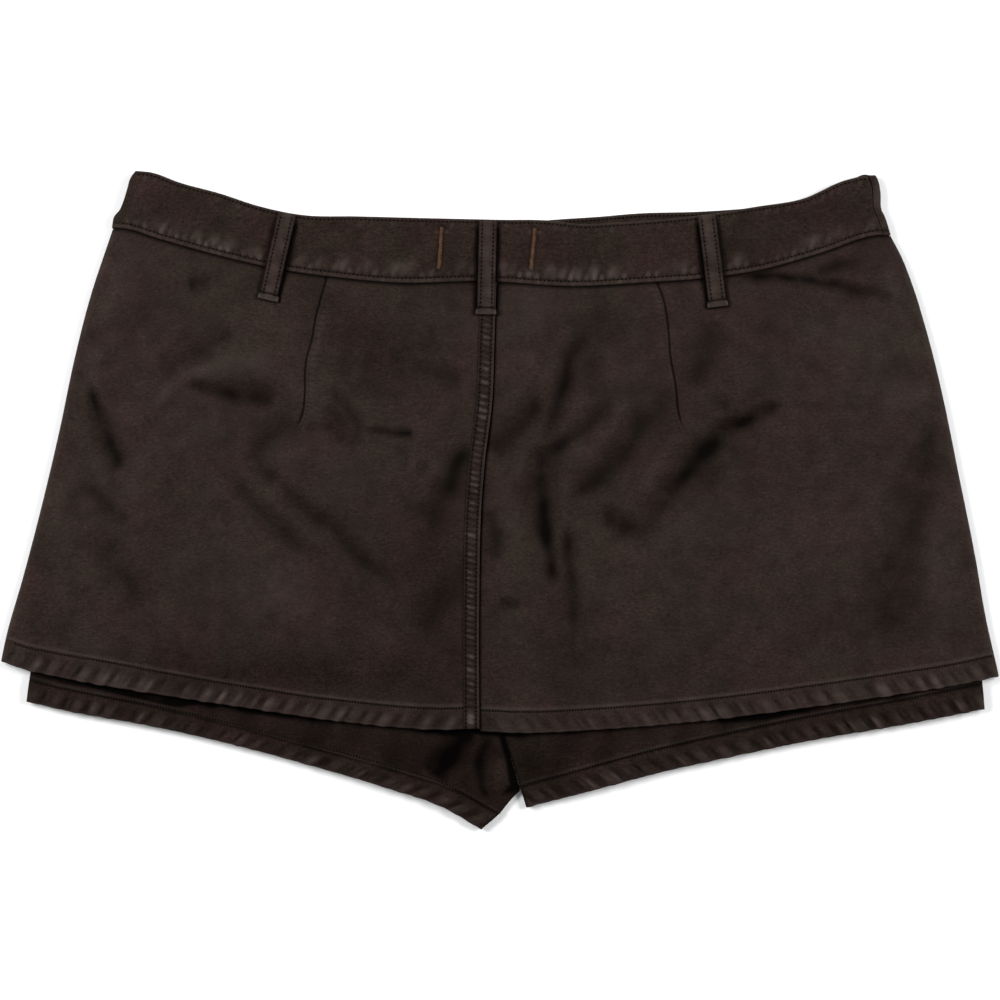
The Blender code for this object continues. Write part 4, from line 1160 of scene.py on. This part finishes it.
class Surface:
    """The top, or the underside, of some pieces, found by a ray straight down or up."""

    def __init__(self, *pieces, below=False):
        self.trees = []
        for piece in pieces:
            vertices = [vertex.co.copy() for vertex in piece.data.vertices]
            polygons = [tuple(face.vertices) for face in piece.data.polygons]
            self.trees.append(BVHTree.FromPolygons(vertices, polygons))
        self.way = 1.0 if below else -1.0

    def at(self, x, y):
        """Height and outward normal of the surface at a point, or None beside it."""
        start = Vector((x * MM, y * MM, -self.way * 0.1))
        best = None
        for tree in self.trees:
            place, normal, _, _ = tree.ray_cast(start, Vector((0.0, 0.0, self.way)))
            if place is not None and (best is None or place.z * self.way < best[0].z * self.way):
                best = (place, normal)
        if best is None:
            return None
        normal = best[1] if best[1].z * self.way < 0 else -best[1]
        return best[0].z / MM, np.array(normal)

    def heights(self, x, y, missing):
        found = [self.at(float(a), float(b)) for a, b in zip(x.ravel(), y.ravel())]
        return np.array([missing if spot is None else spot[0] for spot in found]).reshape(x.shape)


def make_fell():
    """The folded seam allowances, sewn to the left half in two rows with a ladder of puckers between."""
    head, foot = FELL.at(0.0), FELL.at(FELL.length)
    gap, outer_x = SEAM_GAP / 2, foot[0] - FELL_WIDTH
    top = Edge([head - (FELL_WIDTH, 0.25), head - (gap, 0.25)])
    bottom = Edge([(outer_x, LEFT.hem.y_at(outer_x) + 0.3), (foot[0] - gap, foot[1] + 0.6)])
    edges = (top, bottom, FELL.moved(-FELL_WIDTH), FELL.moved(-gap))
    cloth = Cloth(edges, FELL_GRID, roll_lanes(FELL_WALL / 2))
    x, y, right = cloth.x, cloth.y, cloth.right
    rest = Surface(PIECES["skirt_back_left"]).heights(x - 0.35 * (right < 0.8), y, 3 * LAYER_PITCH + WALL)
    inner, outer = (right - row for row in FELL_ROWS)
    between = soft_step((inner + 0.9) / 1.6) * (1 - 0.45 * soft_step(outer / 0.8))
    rungs = 2 * puckers(cloth.top + 0.25 * right, FELL_LADDER, 26, 0.4) - 0.7
    relief = 0.30 * between * rungs
    relief = relief - 0.34 * (bump(inner, 0.7) + bump(outer, 0.7)) * beat(cloth.top, 0.75, 0.25)
    ripple = np.clip(uneven(cloth.top, 3.1, 0.8), 0, 1)
    relief = relief + 0.12 * bump(right - 0.7, 0.6) + 0.10 * ripple * bump(outer - 1.6, 1.0)
    z = rest + FELL_WALL / 2 + 0.02 + np.maximum(relief, -0.3)
    lean = right - 5.2 - 1.2 * wander(x, y, 11.0, 27)
    # Wear and painted highlight on the ladder's crests, along the right edge and in a pale spot near the
    # foot; painted shade along the rows, between the rungs and at the right edge
    wear = 0.06 + 0.62 * between * np.clip(rungs, 0, 1) ** 1.5 * bump(lean, 2.0)
    wear = wear + 0.25 * bump(right - 0.5, 0.5) + 0.9 * bump(cloth.bottom - 6.0, 3.4) * bump(right - 5.2, 2.0)
    dark = 0.5 * (bump(inner, 0.8) + bump(outer, 0.8))
    dark = dark + 0.5 * between * np.clip(-rungs, 0, 1) * soft_step((cloth.bottom - 9.0) / 3.0)
    dark = dark + 0.5 * bump(right, 0.35)
    half = rounded(FELL_WALL, cloth.inside())
    return shell("centre_back_fell_cloth", "skirt_cloth", x, y, z, half, wear=wear, shade=dark)


def loop_seat(start, run, ahead, aside, along, surface):
    """Height of the highest place under a loop's width, smoothed along it."""
    lanes = np.linspace(0, run, 30)
    seats = []
    for distance in lanes:
        place = start + ahead * distance
        under = [surface.at(*(place + aside * LOOP_WIDTH / 2 * share)) for share in LOOP_SEAT_SHARES]
        seats.append(max([spot[0] for spot in under if spot], default=BAND_LIFT + BAND_WALL))
    return np.interp(along, lanes, np.convolve(np.pad(seats, 2, "edge"), np.ones(5) / 5, "valid"))


def make_loop(loop, seed, surface):
    """A stitched strip over the band, turned in at the waist edge and tacked down below the band."""
    start, _, run, ahead, aside = course(*loop[1:5])
    rim = roll_lanes(LOOP_RADIUS)
    lanes = []
    for length, count in ((run, 58), (LOOP_WIDTH, 15)):
        middle = np.linspace(LOOP_FINE_FROM, length - LOOP_FINE_FROM, count)
        lanes.append(np.concatenate([rim, middle, length - np.array(rim[::-1])]))
    along, across = np.meshgrid(*lanes, indexing="ij")
    to_end, inset = run - along, np.minimum(across, LOOP_WIDTH - across)
    flare = 1 + 2 * LOOP_TACK_FLARE / LOOP_WIDTH * (1 - soft_step((to_end - LOOP_TACK_LENGTH) / 0.9))
    offset = (across - LOOP_WIDTH / 2) * flare
    x = start[0] + ahead[0] * along + aside[0] * offset
    y = start[1] + ahead[1] * along + aside[1] * offset
    relief = -0.26 * bump(inset - LOOP_STITCH_INSET, 0.55) * beat(along, 0.75, 0.25) * soft_step(to_end - 3.4)
    relief = relief + 0.10 * wander(x, y, 9.0, seed) - 0.45 * bump(to_end - LOOP_TACK_LENGTH - 1.0, 0.6)
    wall = LOOP_WALL + 0.4 * (1 - soft_step((to_end - LOOP_TACK_LENGTH) / 0.8))
    seat = loop_seat(start, run, ahead, aside, along, surface)
    z = seat + LOOP_SEAT + LOOP_ARCH * np.sin(math.pi * along / run) ** 0.7 + wall / 2 + relief
    # Wear and painted highlight, paler in the middle and at the tacked end; painted shade along the stitches
    # and edges, and beside the tack
    wear = 0.14 + 0.16 * bump(across - LOOP_WIDTH / 2, 2.4) + 0.10 * wander(x, y, 9.0, 55)
    wear = wear + 0.75 * bump(to_end - 1.3, 1.0) + 0.2 * bump(along - 1.0, 1.5)
    dark = 0.4 * bump(inset - LOOP_STITCH_INSET, 0.6) + 0.45 * bump(inset, 0.6)
    dark = dark * soft_step((to_end - 2.4) / 0.8) + bump(to_end - LOOP_TACK_LENGTH - 1.1, 0.8)
    half = rounded(wall, np.minimum(inset, np.minimum(along, to_end)), LOOP_RADIUS)
    x, y, z, half, wear, dark = (part[:, ::-1] for part in (x, y, z, half, wear, dark))
    cloth_piece(loop.name, x, y, z, half, wear=wear, shade=dark)


# ---------------------------------------------------------------- thread


RING_PLACES = (-0.78, 0.0, 0.78)
RING_SIZES = (0.72, 1.0, 0.72)
RING_SIDES = 6


def grain_template():
    """Points and faces of one short stitch of half length 1 and radius 1, along X."""
    turns = [2 * math.pi * side / RING_SIDES for side in range(RING_SIDES)]
    points = [(-1.0, 0.0, 0.0)]
    for place, size in zip(RING_PLACES, RING_SIZES):
        points += [(place, size * math.cos(turn), size * math.sin(turn)) for turn in turns]
    points.append((1.0, 0.0, 0.0))
    faces = []
    last = len(points) - 1
    for side in range(RING_SIDES):
        after = (side + 1) % RING_SIDES
        faces.append((0, 1 + after, 1 + side))
        for ring in range(len(RING_PLACES) - 1):
            base, above = 1 + ring * RING_SIDES, 1 + (ring + 1) * RING_SIDES
            faces.append((base + side, base + after, above + after, above + side))
        base = 1 + (len(RING_PLACES) - 1) * RING_SIDES
        faces.append((base + side, base + after, last))
    return np.array(points), faces


GRAIN_POINTS, GRAIN_FACES = grain_template()

# Kinds of stitch row. A hole is the half length, half width and half height of the dark grain painted as a
# needle hole's shade.
Sewing = namedtuple("Sewing", "length radius sunk pitch hole")
PLAIN = Sewing(1.3, 0.27, 0.05, STITCH_PITCH, (0.5, 0.6, 0.22))
FELLED = Sewing(1.2, 0.3, 0.0, STITCH_PITCH, (0.5, 0.6, 0.22))
SKIRT_HEMMING = Sewing(1.0, 0.25, 0.05, HEM_STITCH_PITCH, (0.36, 0.74, 0.3))
LEG_HEMMING = Sewing(1.0, 0.25, 0.05, HEM_STITCH_PITCH, (0.4, 0.9, 0.3))
DART_SEWING = Sewing(1.1, 0.18, 0.05, STITCH_PITCH, (0.34, 0.34, 0.14))
LOOP_TACKING = Sewing(0.75, 0.2, 0.04, 0.7, None)
LABEL_TACKING = Sewing(2.5, 0.28, -0.04, 1.5, None)
UNDER_PLAIN = Sewing(1.4, 0.14, 0.02, STITCH_PITCH, None)
UNDER_HEMMING = Sewing(1.0, 0.14, 0.02, HEM_STITCH_PITCH, None)
HOLE_RAISED = 0.04


def walked(line, pitch, start=0.5):
    """Points a pitch apart along a line of points, with the direction there."""
    run = distances(line)
    where = np.arange(start * pitch, run[-1], pitch)
    ahead = np.gradient(line, axis=0)
    spots = np.column_stack([np.interp(where, run, line[:, 0]), np.interp(where, run, line[:, 1])])
    ways = np.column_stack([np.interp(where, run, ahead[:, 0]), np.interp(where, run, ahead[:, 1])])
    return spots, ways / np.linalg.norm(ways, axis=1)[:, None]


def sew(node, name, seed, sewing, lines, surface=None, thread=BROWN_THREAD):
    """Rows of stitches with dark grains of painted shade at their needle holes, as one piece, sewn to a
    node's cloth along lines of points.
    """
    surface = surface or Surface(PIECES[node])
    draw = np.random.default_rng(seed)
    points, faces, kinds = [], [], []

    def add(spot, way, sizes, raised, kind):
        found = surface.at(*spot)
        if found is None:
            return
        z, normal = found
        way = np.array((way[0], way[1], 0.0))
        way -= normal * (way @ normal)
        way /= np.linalg.norm(way)
        axes = np.array([way * sizes[0], np.cross(normal, way) * sizes[1], normal * sizes[2]])
        faces.extend([index + len(points) * len(GRAIN_POINTS) for index in face] for face in GRAIN_FACES)
        kinds.extend([kind] * len(GRAIN_FACES))
        points.append(GRAIN_POINTS @ axes + np.array((spot[0], spot[1], z)) + normal * raised)

    for line in lines:
        for spot, way in zip(*walked(line, sewing.pitch)):
            turn = draw.normal(0.0, 0.05)
            leaning = (way[0] - turn * way[1], way[1] + turn * way[0])
            long = sewing.length / 2 * draw.uniform(0.92, 1.06)
            add(spot, leaning, (long, sewing.radius, sewing.radius), -sewing.sunk, 0)
            if sewing.hole:
                add(spot + way * sewing.pitch / 2, way, sewing.hole, HOLE_RAISED, 1)
    piece = mesh_piece(name, np.concatenate(points), faces, thread, slot_of(node))
    if sewing.hole:
        piece.data.materials.append(NEEDLE_HOLE_SHADE)
        piece.data.polygons.foreach_set("material_index", kinds)
    SEWN[node].append(piece)


def clipped(line, low, high):
    """The points of a line whose x lies between two values."""
    return line[(line[:, 0] > low) & (line[:, 0] < high)]


def sew_panels():
    """The skirt's and the legs' rows that show from above."""
    for seed, side in zip((61, 62), SIDES):
        row = clipped(side.hem.hem_row(SKIRT_HEM_STITCH), *side.hem_span)
        sew(f"skirt_back_{side.name}", f"skirt_hem_stitches_{side.name}", seed, SKIRT_HEMMING, [row])
    for seed, side in zip((63, 64), SIDES):
        dart = Edge(side.dart)
        row = dart.beside(side.way * DART_STITCH, 0.5, dart.length - 1.5)
        sew(f"skirt_back_{side.name}", f"dart_stitches_{side.name}", seed, DART_SEWING, [row])
    rows = [FELL.beside(-row, 0.6, FELL.length - 0.6) for row in FELL_ROWS]
    sew("skirt_back_left", "fell_stitches", 65, FELLED, rows, Surface(SEWN["skirt_back_left"][0]))
    for seed, side in zip((66, 67), SIDES):
        row = clipped(side.leg_hem.hem_row(side.leg_stitch), *LEG_HEM_SPAN)
        if side is LEFT:
            row = np.concatenate([row, row[-1] + np.array(LEFT_LEG_LAST_STITCHES)])
        sew(f"shorts_back_{side.name}", f"leg_hem_stitches_{side.name}", seed, LEG_HEMMING, [row])


def sew_bands_and_loops():
    """The waistband's and the belt loops' rows, and what is left of a label's."""
    upper = clipped(WAIST.beside(-BAND_TOP_STITCH), *BAND_TOP_SPAN)
    lower = clipped(SEAM.beside(BAND_BOTTOM_STITCH), *BAND_BOTTOM_SPAN)
    sew("waistband_back", "waistband_stitches", 68, PLAIN, [upper, lower])
    row = clipped(FRONT_WAIST.beside(-BAND_TOP_STITCH), *FRONT_WAIST_SPAN)
    sew("waistband_front_right", "front_waist_stitches", 69, PLAIN, [row])
    rows, bars = [], []
    for loop in LOOPS:
        start, end, _, ahead, aside = course(*loop[1:5])
        reach = LOOP_WIDTH / 2 - LOOP_STITCH_INSET
        stop = end - ahead * (LOOP_TACK_LENGTH + 1.6)
        rows += [np.linspace(start + ahead, stop, 60) + aside * reach * way for way in (-1, 1)]
        for step in LOOP_TACK_BARS:
            middle, wide = end - ahead * step, aside * LOOP_TACK_REACH
            bars.append(np.linspace(middle - wide, middle + wide, 24))
    surface = Surface(*(PIECES[loop.name] for loop in LOOPS))
    sew("belt_loop_left", "belt_loop_stitches", 70, PLAIN, rows, surface)
    sew("belt_loop_left", "belt_loop_tacks", 71, LOOP_TACKING, bars, surface)
    tacks = []
    for tack in LABEL_TACKS:
        start, _, run, ahead, aside = course(*tack)
        for step in np.arange(0.0, run, LABEL_TACK_PITCH):
            middle = start + ahead * step
            lean = 0.25 * math.sin(7.3 * step)
            wide = aside * LABEL_TACK_REACH
            tacks.append(np.array([middle - wide, middle + wide + ahead * lean]))
    sew("waistband_back", "label_tack_threads", 72, LABEL_TACKING, tacks, thread=RUST_THREAD)


def sew_underside():
    """Rows on the side that is laid down: both edges of the front waistband, and both hems."""
    band_rows = (FRONT_WAIST.beside(-BAND_TOP_STITCH), SEAM.beside(BAND_BOTTOM_STITCH))
    for number, side in enumerate(SIDES):
        band = [clipped(row, *side.under_band_span) for row in band_rows]
        skirt = [clipped(side.hem.hem_row(SKIRT_HEM_STITCH, FRONT_HEM_UP), *side.under_hem_span)]
        leg = [side.leg_hem.hem_row(side.leg_stitch)]
        for node, name, seed, sewing, lines in (
            ("waistband_front", "front_waistband", 74, UNDER_PLAIN, band),
            ("skirt_front", "front_hem", 76, UNDER_HEMMING, skirt),
            ("shorts_front", "front_leg", 78, UNDER_HEMMING, leg),
        ):
            node = f"{node}_{side.name}"
            under = Surface(PIECES[node], below=True)
            sew(node, f"{name}_{side.name}_stitches", seed + number, sewing, lines, under)


# ---------------------------------------------------------------- the garment


for make in (make_skirt_back, make_skirt_front, make_leg):
    for side in SIDES:
        make(side)
make_back_band()
make_front_bands()
SEWN["skirt_back_left"].append(make_fell())
under_loops = [PIECES[node] for node in ("waistband_back", "skirt_back_left", "skirt_back_right")]
under_loops = Surface(*under_loops, *SEWN["skirt_back_left"])
for seed, loop in zip((51, 52, 53), LOOPS):
    make_loop(loop, seed, under_loops)
sew_panels()
sew_bands_and_loops()
sew_underside()


# ---------------------------------------------------------------- stage, lights, camera

# Metres
FLOOR_REACH = 6.0
FLOOR_HEIGHT = -0.0003
CAMERA_HEIGHT = 2.0
VIEW_WIDTH = 0.590


def make_stage():
    data = bpy.data.meshes.new("floor")
    corners = ((-1, -1), (1, -1), (1, 1), (-1, 1))
    points = [(FLOOR_REACH * x, FLOOR_REACH * y, FLOOR_HEIGHT) for x, y in corners]
    data.from_pydata(points, [], [(0, 1, 2, 3)])
    data.materials.append(floor_material())
    linked("floor", data)


def soft_light(name, place, size, power):
    data = bpy.data.lights.new(name, "AREA")
    data.shape = "RECTANGLE"
    data.size, data.size_y = size
    data.energy = power
    lamp = linked(name, data)
    lamp.location = place
    lamp.rotation_euler = (-Vector(place)).to_track_quat("-Z", "Y").to_euler()


def make_camera():
    data = bpy.data.cameras.new("camera")
    data.sensor_width = 36.0
    data.lens = data.sensor_width * CAMERA_HEIGHT / VIEW_WIDTH
    camera = linked("camera", data)
    camera.location = (0.0, 0.0, CAMERA_HEIGHT)
    bpy.context.scene.camera = camera


make_stage()
soft_light("upper_left", (-1.35, 0.55, 1.15), (0.9, 0.7), 34.0)
soft_light("upper_right", (1.4, 0.42, 1.15), (0.9, 0.7), 30.0)
soft_light("overhead", (0.0, 0.1, 2.6), (1.7, 1.2), 5.0)
world = bpy.data.worlds.new("studio")
world.use_nodes = True
background = world.node_tree.nodes["Background"]
background.inputs["Color"].default_value = (0.92, 0.95, 1.0, 1.0)
background.inputs["Strength"].default_value = 0.14
bpy.context.scene.world = world
bpy.context.scene.view_settings.view_transform = "Standard"
make_camera()
